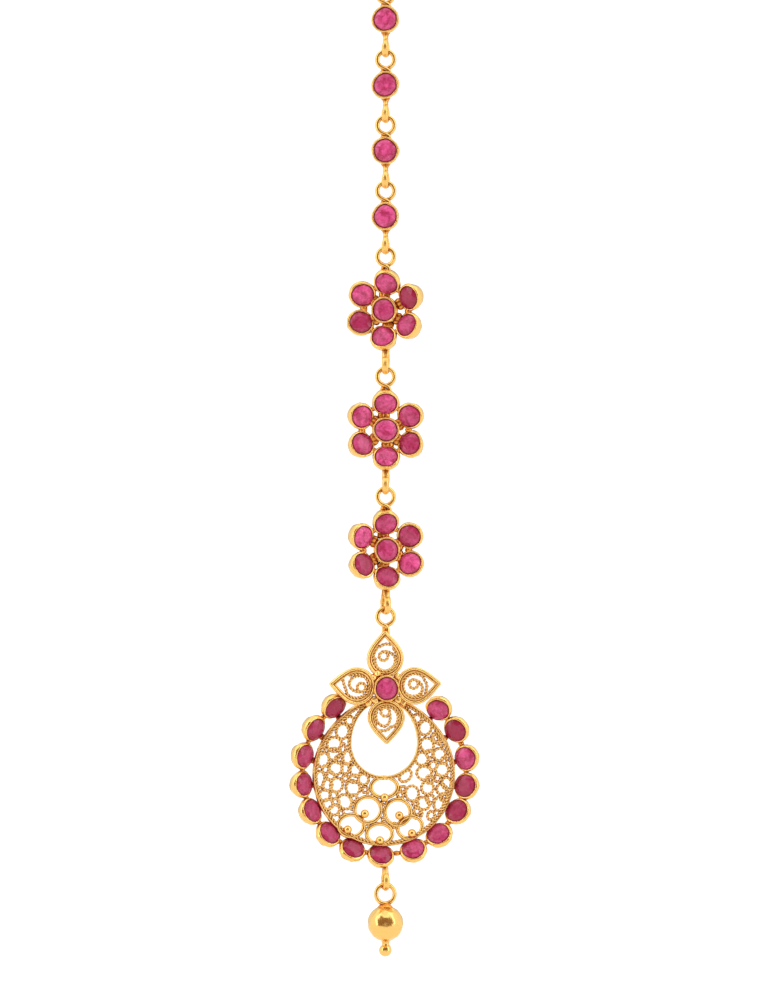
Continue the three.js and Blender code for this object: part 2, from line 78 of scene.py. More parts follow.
# place: share of the way up from straight down to straight up
tent_roof = [
    # place, light
    (0.0, 0.38),
    (0.3, 0.52),
    (0.39, 0.5),
    (0.42, 0.0),
    (0.82, 0.0),
    (0.88, 0.6),
    (1.0, 0.42),
]


def linear(colour):
    """A hex colour as linear values."""
    shares = [int(colour[i:i + 2], 16) / 255 for i in (1, 3, 5)]
    bent = [s / 12.92 if s <= 0.04045 else ((s + 0.055) / 1.055) ** 2.4 for s in shares]
    return (*bent, 1.0)


def add(tree, kind, sockets=None, **settings):
    """Adds a node with its settings, and gives each named socket a value or a link."""
    node = tree.nodes.new(kind)
    for name, value in settings.items():
        setattr(node, name, value)
    for name, value in (sockets or {}).items():
        if isinstance(value, bpy.types.NodeSocket):
            tree.links.new(value, node.inputs[name])
        else:
            node.inputs[name].default_value = value
    return node


def studio_camera():
    camera = bpy.data.objects.new("camera", bpy.data.cameras.new("camera"))
    camera.data.lens = view_lens
    camera.data.sensor_fit = "VERTICAL"
    camera.data.sensor_height = film_height
    distance = view_height * view_lens / film_height
    camera.location = view_centre - Vector((0, distance, 0))
    camera.rotation_euler = (radians(90), 0, 0)
    bpy.context.collection.objects.link(camera)
    bpy.context.scene.camera = camera


def light_ramp(tree, along, stops):
    """Light that changes along a value by a table of places and lights."""
    ramp = add(tree, "ShaderNodeValToRGB", {"Fac": along})
    elements = ramp.color_ramp.elements
    elements[0].position = stops[0][0]
    elements[1].position = stops[-1][0]
    for place, light in stops[1:-1]:
        elements.new(place)
    for element, (place, light) in zip(elements, stops):
        element.color = (light, light, light, 1)
    return ramp.outputs[0]


def lighter(tree, one, two):
    """Whichever of two lights is brighter, in each colour."""
    mix = add(tree, "ShaderNodeMix", {"Factor": 1.0, "A": one, "B": two}, data_type="RGBA",
              blend_type="LIGHTEN")
    return mix.outputs["Result"]


def studio_tent():
    """White all round and brightest at the two lamps beside the opening, which is dark."""
    world = bpy.data.worlds.new("tent")
    world.use_nodes = True
    bpy.context.scene.world = world
    tree = world.node_tree
    tree.nodes.clear()
    way = add(tree, "ShaderNodeTexCoord").outputs["Generated"]
    split = add(tree, "ShaderNodeSeparateXYZ", {0: way})
    side = add(tree, "ShaderNodeMath", {0: split.outputs["X"]}, operation="ABSOLUTE").outputs[0]
    turn = add(tree, "ShaderNodeMath", {0: side, 1: split.outputs["Y"]}, operation="ARCTAN2").outputs[0]
    # turn runs from 0 behind the ornament to pi towards the camera
    across = add(tree, "ShaderNodeMapRange", {"Value": turn, "From Max": pi}).outputs[0]
    # the opening ends below the lens and well above it, where white cloth closes it
    height = add(tree, "ShaderNodeMapRange", {"Value": split.outputs["Z"], "From Min": -1.0})
    walls = light_ramp(tree, across, tent_walls)
    roof = light_ramp(tree, height.outputs[0], tent_roof)
    lit = lighter(tree, walls, roof)
    room = [room_light * c for c in linear(room_tone)[:3]]
    filled = lighter(tree, lit, (*room, 1))
    lamp = add(tree, "ShaderNodeBackground", {"Color": filled, "Strength": tent_lamps})
    cloth = add(tree, "ShaderNodeBackground", {"Color": (1, 1, 1, 1), "Strength": tent_bright})
    seen = add(tree, "ShaderNodeLightPath").outputs["Is Camera Ray"]
    both = add(tree, "ShaderNodeMixShader", {0: seen, 1: lamp.outputs[0], 2: cloth.outputs[0]})
    add(tree, "ShaderNodeOutputWorld", {0: both.outputs[0]})


def studio_floor():
    half = floor_size / 2
    mesh = bpy.data.meshes.new("floor")
    corners = [(-half, -half, floor_height), (half, -half, floor_height), (half, half, floor_height),
               (-half, half, floor_height)]
    mesh.from_pydata(corners, [], [(0, 1, 2, 3)])
    paint = bpy.data.materials.new("matt white board")
    paint.use_nodes = True
    surface = paint.node_tree.nodes["Principled BSDF"]
    surface.inputs["Base Color"].default_value = linear(floor_colour)
    surface.inputs["Roughness"].default_value = 0.9
    mesh.materials.append(paint)
    floor = bpy.data.objects.new("floor", mesh)
    bpy.context.collection.objects.link(floor)


studio_camera()
studio_tent()
studio_floor()
bpy.context.scene.view_settings.view_transform = "Standard"


# Hair hook
# One round gold wire, bent over at the crown and closed into a loop at the foot of its shank. It
# is drawn, bent round a mandrel, soldered where the loop closes and polished.
hook_wire = 0.7 * mm
hook_bend = 2.95 * mm
hook_leg = 8.2 * mm
hook_shank = 6.2 * mm
hook_loop = 1.3 * mm
wire_fineness = 900
gold_colour = "#FBCD78"
# painted shade: the deep orange-red that the gold's colour turns to wherever other gold is near
gold_crevice = "#9C2C0A"
crevice_reach = 0.55 * mm
crevice_dark = 0.3
crevice_clear = 0.95
dent_size = 0.6 * mm
dent_depth = 0.03 * mm
worn_least = 0.7
worn_most = 1.4


def gold_finish(name, colour, crevice, roughness, dents):
    """Polished gold: mirror bright on top, with painted shade that turns its colour deeper orange wherever
    gold faces gold.
    """
    metal = bpy.data.materials.new(name)
    metal.use_nodes = True
    tree = metal.node_tree
    tree.nodes.clear()
    place = add(tree, "ShaderNodeTexCoord").outputs["Object"]
    hammered = add(tree, "ShaderNodeTexNoise", {"Vector": place, "Scale": 1 / dent_size, "Detail": 3.0})
    bump = add(tree, "ShaderNodeBump", {"Height": hammered.outputs["Fac"], "Distance": dent_depth * dents,
                                        "Strength": 1.0})
    worn = add(tree, "ShaderNodeMapRange", {"Value": hammered.outputs["Fac"],
                                            "To Min": roughness * worn_least, "To Max": roughness * worn_most})
    # Painted shade: ambient occlusion turns the base colour towards the shade colour wherever other gold is
    # near.
    open_sky = add(tree, "ShaderNodeAmbientOcclusion", {"Distance": crevice_reach}, samples=6)
    shade = add(tree, "ShaderNodeMapRange", {"Value": open_sky.outputs["AO"],
                                             "From Min": crevice_dark, "From Max": crevice_clear})
    tone = add(tree, "ShaderNodeMix", {"Factor": shade.outputs[0], "A": linear(crevice),
                                       "B": linear(colour)}, data_type="RGBA")
    surface = add(tree, "ShaderNodeBsdfPrincipled", {
        "Base Color": tone.outputs["Result"], "Metallic": 1.0, "Roughness": worn.outputs[0],
        "Normal": bump.outputs[0]})
    add(tree, "ShaderNodeOutputMaterial", {0: surface.outputs[0]})
    return metal


def node_tree(name, inputs):
    """An empty geometry tree with named inputs, and the nodes that it starts and ends with."""
    tree = bpy.data.node_groups.new(name, "GeometryNodeTree")
    tree.interface.new_socket("Geometry", in_out="INPUT", socket_type="NodeSocketGeometry")
    for title, kind in inputs:
        tree.interface.new_socket(title, in_out="INPUT", socket_type=kind)
    tree.interface.new_socket("Geometry", in_out="OUTPUT", socket_type="NodeSocketGeometry")
    return tree, add(tree, "NodeGroupInput")


def finish_tree(tree, start, shape):
    """Ends a tree as every one ends: single mesh, smooth, in its metal."""
    whole = add(tree, "GeometryNodeRealizeInstances", {0: shape})
    smooth = add(tree, "GeometryNodeSetShadeSmooth", {0: whole.outputs[0]})
    coated = add(tree, "GeometryNodeSetMaterial", {0: smooth.outputs[0],
                                                   "Material": start.outputs["Metal"]})
    add(tree, "NodeGroupOutput", {0: coated.outputs[0]})
    return tree


def roughened(tree, shape, fineness, amount):
    """A shape pushed in and out along its own surface by noise."""
    place = add(tree, "GeometryNodeInputPosition")
    lumps = add(tree, "ShaderNodeTexNoise", {"Vector": place.outputs[0], "Scale": fineness, "Detail": 1.0})
    middle = add(tree, "ShaderNodeMath", {0: lumps.outputs["Fac"], 1: 0.5}, operation="SUBTRACT")
    reach = add(tree, "ShaderNodeMath", {0: middle.outputs[0], 1: amount}, operation="MULTIPLY")
    outward = add(tree, "GeometryNodeInputNormal")
    shift = add(tree, "ShaderNodeVectorMath", {0: outward.outputs[0], "Scale": reach.outputs[0]},
                operation="SCALE")
    return add(tree, "GeometryNodeSetPosition", {0: shape, "Offset": shift.outputs[0]}).outputs[0]


def wire_tree():
    """Round drawn wire along each row of edges, a little uneven as hand-drawn wire is."""
    tree, start = node_tree("drawn wire", [
        ("Thickness", "NodeSocketFloat"), ("Step", "NodeSocketFloat"), ("Sides", "NodeSocketInt"),
        ("Unevenness", "NodeSocketFloat"), ("Metal", "NodeSocketMaterial")])
    rows = add(tree, "GeometryNodeMeshToCurve", {0: start.outputs["Geometry"]})
    even = add(tree, "GeometryNodeResampleCurve", {0: rows.outputs[0], "Length": start.outputs["Step"]},
               mode="LENGTH")
    half = add(tree, "ShaderNodeMath", {0: start.outputs["Thickness"], 1: 0.5}, operation="MULTIPLY")
    section = add(tree, "GeometryNodeCurvePrimitiveCircle", {"Resolution": start.outputs["Sides"],
                                                                 "Radius": half.outputs[0]})
    tube = add(tree, "GeometryNodeCurveToMesh", {0: even.outputs[0], 1: section.outputs[0],
                                                 "Fill Caps": True})
    uneven = roughened(tree, tube.outputs[0], wire_fineness, start.outputs["Unevenness"])
    return finish_tree(tree, start, uneven)


def edge_mesh(name, paths):
    """Rows of points joined by edges. Each path is its points and whether it closes."""
    points = []
    edges = []
    for row, closed in paths:
        first = len(points)
        points += [tuple(p) for p in row]
        edges += [(first + i, first + i + 1) for i in range(len(row) - 1)]
        if closed:
            edges.append((len(points) - 1, first))
    mesh = bpy.data.meshes.new(name)
    mesh.from_pydata(points, edges, [])
    return mesh


def grow(name, base, tree, inputs):
    """The plain mesh that a tree makes of a base mesh, as an object at the origin."""
    piece = bpy.data.objects.new(name, base)
    bpy.context.collection.objects.link(piece)
    modifier = piece.modifiers.new("tree", "NODES")
    modifier.node_group = tree
    for item in tree.interface.items_tree:
        if item.in_out == "INPUT" and item.name in inputs:
            modifier[item.identifier] = inputs[item.name]
    ready = piece.evaluated_get(bpy.context.evaluated_depsgraph_get())
    mesh = bpy.data.meshes.new_from_object(ready)
    piece.modifiers.clear()
    piece.data = mesh
    return piece


def smooth_row(points, steps, closed=False):
    """A smooth row through a few points."""
    count = len(points)
    rows = []
    for i in range(count if closed else count - 1):
        a, b, c, d = [points[(i + k) % count] if closed else points[min(max(i + k, 0), count - 1)]
                      for k in (-1, 0, 1, 2)]
        for s in range(steps):
            t = s / steps
            rows.append(0.5 * (2 * b + (c - a) * t + (2 * a - 5 * b + 4 * c - d) * t * t
                               + (3 * b - a - 3 * c + d) * t * t * t))
    if not closed:
        rows.append(points[-1])
    return rows


def ring_row(centre, radius, turn, steps=28):
    """A closed ring that stands upright, turned about the hanging line from the front's plane."""
    across = Vector((cos(turn), sin(turn), 0))
    up = Vector((0, 0, 1))
    angles = [2 * pi * i / steps for i in range(steps)]
    return [centre + radius * (across * sin(a) + up * cos(a)) for a in angles]


def settle(piece, body, slot, *nodes):
    """Gives a finished piece its body and hides the solids that it stands for. slot is not used."""
    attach(piece, body)
    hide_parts(*nodes)
    return piece


def hair_hook():
    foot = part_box("hair_hook")[0].z + hook_wire / 2 + hook_loop
    crown = hook_wire / 2 - hook_bend
    row = [Vector((0, hook_bend, -hook_leg)), Vector((0, hook_bend, (crown - hook_leg) / 2))]
    for i in range(7):
        angle = pi * i / 6
        row.append(Vector((0, hook_bend * cos(angle), crown + hook_bend * sin(angle))))
    row.append(Vector((0, -hook_bend, -hook_shank)))
    row.append(Vector((0, -hook_bend / 2, (foot + hook_loop - hook_shank) / 2)))
    row.append(Vector((0, 0, foot + hook_loop)))
    paths = [(smooth_row(row, 8), False), (ring_row(Vector((0, 0, foot)), hook_loop, pi / 2), True)]
    piece = grow("hook_wire", edge_mesh("hook_wire", paths), drawn_wire, {
        "Thickness": hook_wire, "Step": 0.25 * mm, "Sides": 14, "Unevenness": 0.02 * mm,
        "Metal": polished_gold})
    settle(piece, "chain", "gold", "hair_hook")


polished_gold = gold_finish("polished 22 carat gold", gold_colour, gold_crevice, 0.2, 1.0)
drawn_wire = wire_tree()
hair_hook()


# Single-stone links
# Each is a ruby in a bezel of thin gold strip, tapered to a flat back. A round wire eye is soldered
# on top with its two ends crossed on the bezel, and a loop of flat strap stands across it below.
ring_wire = 0.56 * mm
ring_radius = 1.15 * mm
eye_wire = 0.61 * mm
strap_width = 0.84 * mm
strap_thickness = 0.48 * mm
link_turn = radians(-6)
loop_turn = radians(90)
link_ruby = 1.58 * mm
cup_depth = 1.5 * mm
cup_taper = 0.3 * mm
link_rise = 3.5 * mm
link_drop = 3.79 * mm
# painted shade: the dark red that each ruby's colour turns to towards its girdle, where the gold lip shades it
ruby_dark = "#901230"
ruby_body = "#A01840"
# partly silk and partly painted glow: the light pink that the noise mixes in also stands in for light coming
# back out of the stone
ruby_light = "#FF66AC"
ruby_gloss = 0.22
ruby_shine = 0.24
ruby_bend = 1.77
silk_size = 1.15 * mm
silk_least = 0.4
silk_most = 0.63
silk_floor = 0.22
rim_starts = 0.55
rim_full = 0.95
opening_cut = 0.28 * mm
opening_sink = 0.3 * mm
opening_front = 0.3 * mm
eye_cross = 0.2 * mm
eye_neck = 1.45 * mm
eye_narrow = 0.68
eye_twist = 0.17 * mm
strap_bite = 0.32
strap_shoulder = 0.8 * mm
solder_fineness = 1600


def ruby_finish():
    """Faceted natural ruby: raspberry red, clouded with light pink that is partly silk and partly painted
    glow, with painted shade where it meets the gold.
    """
    stone = bpy.data.materials.new("cut and polished natural ruby")
    stone.use_nodes = True
    tree = stone.node_tree
    tree.nodes.clear()
    place = add(tree, "ShaderNodeTexCoord").outputs["Object"]
    edge = add(tree, "ShaderNodeAttribute", attribute_name="edge").outputs["Fac"]
    tone = add(tree, "ShaderNodeAttribute", attribute_name="tone").outputs["Fac"]
    silk = add(tree, "ShaderNodeTexNoise", {"Vector": place, "Scale": 1 / silk_size, "Detail": 3.0,
                                            "Roughness": 0.5, "Distortion": 0.8})
    streaks = add(tree, "ShaderNodeTexNoise", {"Vector": place, "Scale": 2.2 / silk_size, "Detail": 2.0,
                                               "Distortion": 1.5})
    mottle = add(tree, "ShaderNodeMix", {"Factor": 0.35, "A": silk.outputs["Fac"],
                                         "B": streaks.outputs["Fac"]}, data_type="FLOAT")
    cloud = add(tree, "ShaderNodeMapRange", {"Value": mottle.outputs["Result"], "From Min": silk_least,
                                             "From Max": silk_most, "To Min": silk_floor}, clamp=True)
    # Partly painted glow: the clouded places turn light pink, for silk and for light coming back out of the
    # stone.
    glow = add(tree, "ShaderNodeMath", {0: cloud.outputs[0], 1: tone}, operation="MULTIPLY")
    lit = add(tree, "ShaderNodeMix", {"Factor": glow.outputs[0], "A": linear(ruby_body),
                                      "B": linear(ruby_light)}, data_type="RGBA")
    # Painted shade: towards the girdle the colour darkens to the rim shade, by the edge attribute.
    rim = add(tree, "ShaderNodeMapRange", {"Value": edge, "From Min": rim_starts, "From Max": rim_full},
              interpolation_type="SMOOTHSTEP")
    deep = add(tree, "ShaderNodeMix", {"Factor": rim.outputs[0], "A": lit.outputs["Result"],
                                       "B": linear(ruby_dark)}, data_type="RGBA")
    surface = add(tree, "ShaderNodeBsdfPrincipled", {
        "Base Color": deep.outputs["Result"], "Roughness": ruby_gloss, "IOR": ruby_bend,
        "Specular IOR Level": ruby_shine})
    add(tree, "ShaderNodeOutputMaterial", {0: surface.outputs[0]})
    return stone


def outline(seed, point=0.0, point_at=0.0):
    """How a hand-shaped stone departs from round: a share of its radius at each angle from up."""
    draw = random.Random(seed)
    waves = [(k, draw.uniform(0.3, 1.0) * size, draw.uniform(0, 2 * pi))
             for k, size in ((2, 0.028), (3, 0.014), (5, 0.006))]

    def share(angle):
        away = (angle - point_at + pi) % (2 * pi) - pi
        bend = sum(size * sin(k * angle + start) for k, size, start in waves)
        return 1 + bend + point * exp(-(away / 0.32) ** 2)
    return share


def lathe(mesh, place, rows, share, sides, open_width=0.0):
    """Turns rows of radius and depth round an axis. The inner side can be cut down by an opening."""
    rings = []
    for radius, depth in rows:
        if radius == 0:
            rings.append([mesh.verts.new(place @ Vector((0, depth, 0)))])
            continue
        ring = []
        for i in range(sides):
            angle = 2 * pi * i / sides
            cut = exp(-((angle - pi) / open_width) ** 2) if open_width else 0
            reach = radius * share(angle) - opening_cut * cut
            sunk = depth + opening_sink * cut if depth < opening_front else depth
            ring.append(mesh.verts.new(place @ Vector((reach * sin(angle), sunk, reach * cos(angle)))))
        rings.append(ring)
    for one, two in zip(rings, rings[1:]):
        for i in range(sides):
            j = (i + 1) % sides
            corners = [one[i % len(one)], one[j % len(one)], two[j % len(two)], two[i % len(two)]]
            mesh.faces.new(list(dict.fromkeys(corners)))


def add_cup(mesh, place, ruby, depth, taper, share, lip=0.27 * mm, open_width=0.0):
    """A bezel: the strip's inside, its burnished lip, the wall that tapers back, and a flat back."""
    clear = 0.02 * mm
    rows = [
        # radius, depth back from the stone's girdle
        (0, 0.62 * mm),
        (ruby - 0.1 * mm, 0.62 * mm),
        (ruby + clear, 0.1 * mm),
        (ruby + clear, -0.02 * mm),
        (ruby - 0.08 * mm, -0.04 * mm),
        (ruby + 0.06 * mm, -0.16 * mm),
        (ruby + 0.15 * mm, -0.17 * mm),
        (ruby + 0.24 * mm, -0.1 * mm),
        (ruby + lip, 0.02 * mm),
        (ruby + lip + 0.05 * mm, 0.2 * mm),
        (ruby + lip + 0.02 * mm, 0.5 * mm),
        (ruby + lip - 0.55 * taper, 1.0 * mm),
        (ruby + lip - 0.9 * taper, depth - 0.12 * mm),
        (ruby + lip - taper - 0.06 * mm, depth),
        (0, depth),
    ]
    lathe(mesh, place, rows, share, 40, open_width)


def ruby_mesh(name, place, ruby, share, tone):
    """A round brilliant's crown: a table, eight stars, eight kites, and girdle facets round them."""
    mesh = bmesh.new()
    edges = mesh.verts.layers.float.new("edge")
    tones = mesh.verts.layers.float.new("tone")
    sides = 32
    table = [(0.56, -0.36, 8, 0.0), (0.79, -0.24, 8, pi / 8)]
    ring_table, ring_mid = [[place @ Vector((reach * ruby * share(a) * sin(a), depth * mm,
                                             reach * ruby * share(a) * cos(a)))
                             for a in [start + 2 * pi * i / count for i in range(count)]]
                            for reach, depth, count, start in table]
    top = [mesh.verts.new(v) for v in ring_table]
    mid = [mesh.verts.new(v) for v in ring_mid]
    girdle = []
    foot = []
    for i in range(sides):
        angle = 2 * pi * i / sides
        reach = ruby * share(angle)
        girdle.append(mesh.verts.new(place @ Vector((reach * sin(angle), 0, reach * cos(angle)))))
        foot.append(mesh.verts.new(place @ Vector((0.72 * reach * sin(angle), 0.5 * mm,
                                                   0.72 * reach * cos(angle)))))
    mesh.faces.new(top)
    step = sides // 8
    for i in range(8):
        j = (i + 1) % 8
        middle = mid[i]
        mesh.faces.new([top[j], top[i], middle])
        first = girdle[(i * step) % sides]
        row = [girdle[(i * step + k) % sides] for k in range(step + 1)]
        mesh.faces.new([top[i], row[0], row[1], middle])
        for k in range(1, step - 1):
            mesh.faces.new([middle, row[k], row[k + 1]])
        mesh.faces.new([middle, row[step - 1], row[step], top[j]])
    for i in range(sides):
        j = (i + 1) % sides
        mesh.faces.new([girdle[i], foot[i], foot[j], girdle[j]])
    mesh.faces.new(list(reversed(foot)))
    bmesh.ops.recalc_face_normals(mesh, faces=mesh.faces)
    data = bpy.data.meshes.new(name)
    for vertex in mesh.verts:
        vertex[tones] = tone
    # the edge attribute runs from 0 at the table to 1 at the girdle and masks the painted shade at the rim
    for vertex in top:
        vertex[edges] = 0.0
    for vertex in mid:
        vertex[edges] = 0.45
    for vertex in girdle + foot:
        vertex[edges] = 1.0
    mesh.to_mesh(data)
    mesh.free()
    return data


def ruby_piece(name, place, ruby, share, tone, body, node):
    piece = bpy.data.objects.new(name, ruby_mesh(name, place, ruby, share, tone))
    bpy.context.collection.objects.link(piece)
    piece.data.materials.append(natural_ruby)
    settle(piece, body, "ruby", node)


def metal_piece(name, mesh, metal, dents=0.09 * mm):
    """A piece from a metal mesh in the making, pushed in and out a little as handwork is."""
    bmesh.ops.recalc_face_normals(mesh, faces=mesh.faces)
    mesh.normal_update()
    for vertex in mesh.verts:
        vertex.co += vertex.normal * dents * noise.noise(vertex.co / (0.8 * mm))
    data = bpy.data.meshes.new(name)
    mesh.to_mesh(data)
    mesh.free()
    data.materials.append(metal)
    data.shade_smooth()
    piece = bpy.data.objects.new(name, data)
    bpy.context.collection.objects.link(piece)
    return piece


def eye_row(centre, radius, turn, cup=1.9 * mm, spread=0.5 * mm):
    """A ring bent from one wire, whose two ends cross under it and run on to the bezel."""
    across = Vector((cos(turn), sin(turn), 0))
    through = Vector((-sin(turn), cos(turn), 0))
    up = Vector((0, 0, 1))
    front = through * -eye_cross
    row = [across * spread + front - up * cup, across * eye_narrow * spread + front - up * eye_neck]
    for angle in range(-30, -331, -15):
        a = radians(angle)
        lift = through * eye_twist * ((angle + 180) / 150)
        row.append((across * sin(a) - up * cos(a)) * radius - lift)
    row += [across * -eye_narrow * spread - front - up * eye_neck, across * -spread - front - up * cup]
    return smooth_row([centre + p for p in row], 3)


def join(pieces, name):
    """Several meshes as one piece."""
    mesh = bmesh.new()
    metals = []
    for piece in pieces:
        for metal in piece.data.materials:
            if metal not in metals:
                metals.append(metal)
    for piece in pieces:
        start = len(mesh.faces)
        mesh.from_mesh(piece.data)
        mesh.faces.ensure_lookup_table()
        for face in mesh.faces[start:]:
            face.material_index = metals.index(piece.data.materials[face.material_index])
    data = bpy.data.meshes.new(name)
    mesh.to_mesh(data)
    mesh.free()
    for metal in metals:
        data.materials.append(metal)
    for piece in pieces:
        bpy.data.objects.remove(piece)
    whole = bpy.data.objects.new(name, data)
    bpy.context.collection.objects.link(whole)
    return whole


def wires(name, rows, thickness=ring_wire):
    return grow(name, edge_mesh(name, [(row, False) for row in rows]), drawn_wire, {
        "Thickness": thickness, "Step": 0.14 * mm, "Sides": 12, "Unevenness": 0.05 * mm,
        "Metal": polished_gold})


def strap(name, centre, radius, turn, neck, slimmer=0.0):
    """A loop bent from flat strap, narrowed where the next eye swings on it, its ends soldered above."""
    row = [(0.16 * mm, neck)]
    for angle in range(30, 331, 15):
        a = radians(angle)
        row.append((radius * sin(a), radius * cos(a)))
    row.append((-0.16 * mm, neck))
    points = smooth_row([Vector((x, 0, z)) for x, z in row], 3)
    piece = grow(name, edge_mesh(name, [(points, False)]), drawn_wire, {
        "Thickness": strap_thickness, "Step": 0.14 * mm, "Sides": 12, "Unevenness": 0.1 * mm,
        "Metal": annealed_gold})
    for vertex in piece.data.vertices:
        aside = min(max((abs(vertex.co.x) - 0.26 * mm) / (0.2 * mm), 0), 1) if vertex.co.z < 0 else 1
        upper = min(max(vertex.co.z / strap_shoulder, 0), 1)
        bite = 1 - strap_bite + strap_bite * aside
        vertex.co.y *= strap_width / strap_thickness * bite * (1 - slimmer * upper)
    piece.data.transform(Matrix.Translation(centre) @ Matrix.Rotation(turn, 4, "Z"))
    return piece


def ridges(loop, width=0.38 * mm):
    """Where the strap's soldered neck is creased across, three times."""
    return [(loop + Vector((0, 0, height * mm)), (width, deep * mm, 0.12 * mm))
            for height, deep in ((1.15, 0.78), (1.45, 0.6), (1.75, 0.42))]


def solder_tree():
    """Balls of solder on points, each with its own size, run a little out of round."""
    tree, start = node_tree("solder", [("Lumpiness", "NodeSocketFloat"), ("Metal", "NodeSocketMaterial")])
    ball = add(tree, "GeometryNodeMeshIcoSphere", {"Radius": 1.0, "Subdivisions": 3})
    size = add(tree, "GeometryNodeInputNamedAttribute", {"Name": "size"}, data_type="FLOAT_VECTOR")
    spots = add(tree, "GeometryNodeInstanceOnPoints", {
        "Points": start.outputs["Geometry"], "Instance": ball.outputs[0], "Scale": size.outputs[0]})
    whole = add(tree, "GeometryNodeRealizeInstances", {0: spots.outputs[0]})
    run = roughened(tree, whole.outputs[0], solder_fineness, start.outputs["Lumpiness"])
    return finish_tree(tree, start, run)


def solder(name, spots, lumpiness=0.12 * mm, metal=None):
    """Solder at each spot, which is a place and its half sizes."""
    mesh = bpy.data.meshes.new(name)
    mesh.from_pydata([tuple(place) for place, size in spots], [], [])
    sizes = mesh.attributes.new("size", "FLOAT_VECTOR", "POINT")
    for item, (place, size) in zip(sizes.data, spots):
        item.vector = size
    return grow(name, mesh, run_solder, {"Lumpiness": lumpiness, "Metal": metal or solder_gold})


def chain_link(number):
    node = f"chain_link_{number}"
    eye = Vector((0, 0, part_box(node)[1].z - ring_radius - ring_wire / 2))
    middle = eye - Vector((0, 0, link_rise))
    turn = Matrix.Rotation(link_turn, 4, "Z")
    place = Matrix.Translation(middle) @ turn @ Matrix.Translation((0, -cup_depth / 2, 0))
    share = outline(number, point=0.07)
    cup = bmesh.new()
    add_cup(cup, place, link_ruby, cup_depth, cup_taper, share)
    bezel = metal_piece("bezel", cup, bezel_gold)
    loop = middle - Vector((0, 0, link_drop))
    rings = wires("eye", [eye_row(eye, ring_radius, link_turn)], eye_wire)
    hanger = strap("loop", loop, ring_radius, link_turn + loop_turn, 1.9 * mm, 0.28)
    spots = [(eye - Vector((0.26 * mm, 0.12 * mm, 1.5 * mm)), (0.26 * mm, 0.24 * mm, 0.26 * mm)),
             (eye + Vector((0.26 * mm, 0.12 * mm, -1.52 * mm)), (0.24 * mm, 0.24 * mm, 0.28 * mm)),
             (loop + Vector((0, -0.05 * mm, 1.98 * mm)), (0.64 * mm, 0.4 * mm, 0.34 * mm)),
             (loop + Vector((0, -0.05 * mm, 1.7 * mm)), (0.44 * mm, 0.4 * mm, 0.3 * mm))]
    spots += ridges(loop)
    whole = join([bezel, rings, hanger, solder("solder", spots)], f"link_{number}")
    settle(whole, "chain", "gold", node)
    ruby_piece(f"link_{number}_ruby", place, link_ruby, share, 0.9, "chain", f"link_stone_{number}")


natural_ruby = ruby_finish()
# The solder's own orange colour. The second colour of solder, annealed and bezel gold is painted shade where
# other gold is near.
solder_gold = gold_finish("gold solder, run and pickled", "#EFA44C", "#861E08", 0.3, 1.5)
annealed_gold = gold_finish("annealed 22 carat gold, bent and hammered", gold_colour, gold_crevice,
                            0.36, 1.6)
bezel_gold = gold_finish("22 carat gold strip, pushed over and burnished", gold_colour, gold_crevice,
                         0.24, 3.2)
run_solder = solder_tree()
for number in range(1, 5):
    chain_link(number)


# Seven-stone flowers
# Six bezels lean in round a raised seventh and are soldered where they touch. Small gaps stay open
# between the middle bezel and each pair of petals. Each flower has turned a little on its rings.
flower_turns = [-15, 3, 12]
flower_loop_turns = [100, 85, 95]
flower_ruby = 1.54 * mm
petal_reach = 3.62 * mm
side_reach = 3.74 * mm
petal_lean = 25
flower_rolls = [3.8, -0.6, -1.2]
petal_front = 0.55 * mm
middle_front = 0.9 * mm
flower_rise = 7.274 * mm
flower_drop = 7.414 * mm


def clock(degrees, reach, back):
    """A place round a piece's middle: degrees from straight up, how far out, and how far back."""
    angle = radians(degrees)
    return Vector((reach * sin(angle), back, reach * cos(angle)))


def seat(turn, reach, back, lean):
    """A cup's place: turned round the piece's middle, out by its reach, and leaning in."""
    return (Matrix.Rotation(radians(turn), 4, "Y") @ Matrix.Translation((0, back, reach))
            @ Matrix.Rotation(radians(lean), 4, "X"))


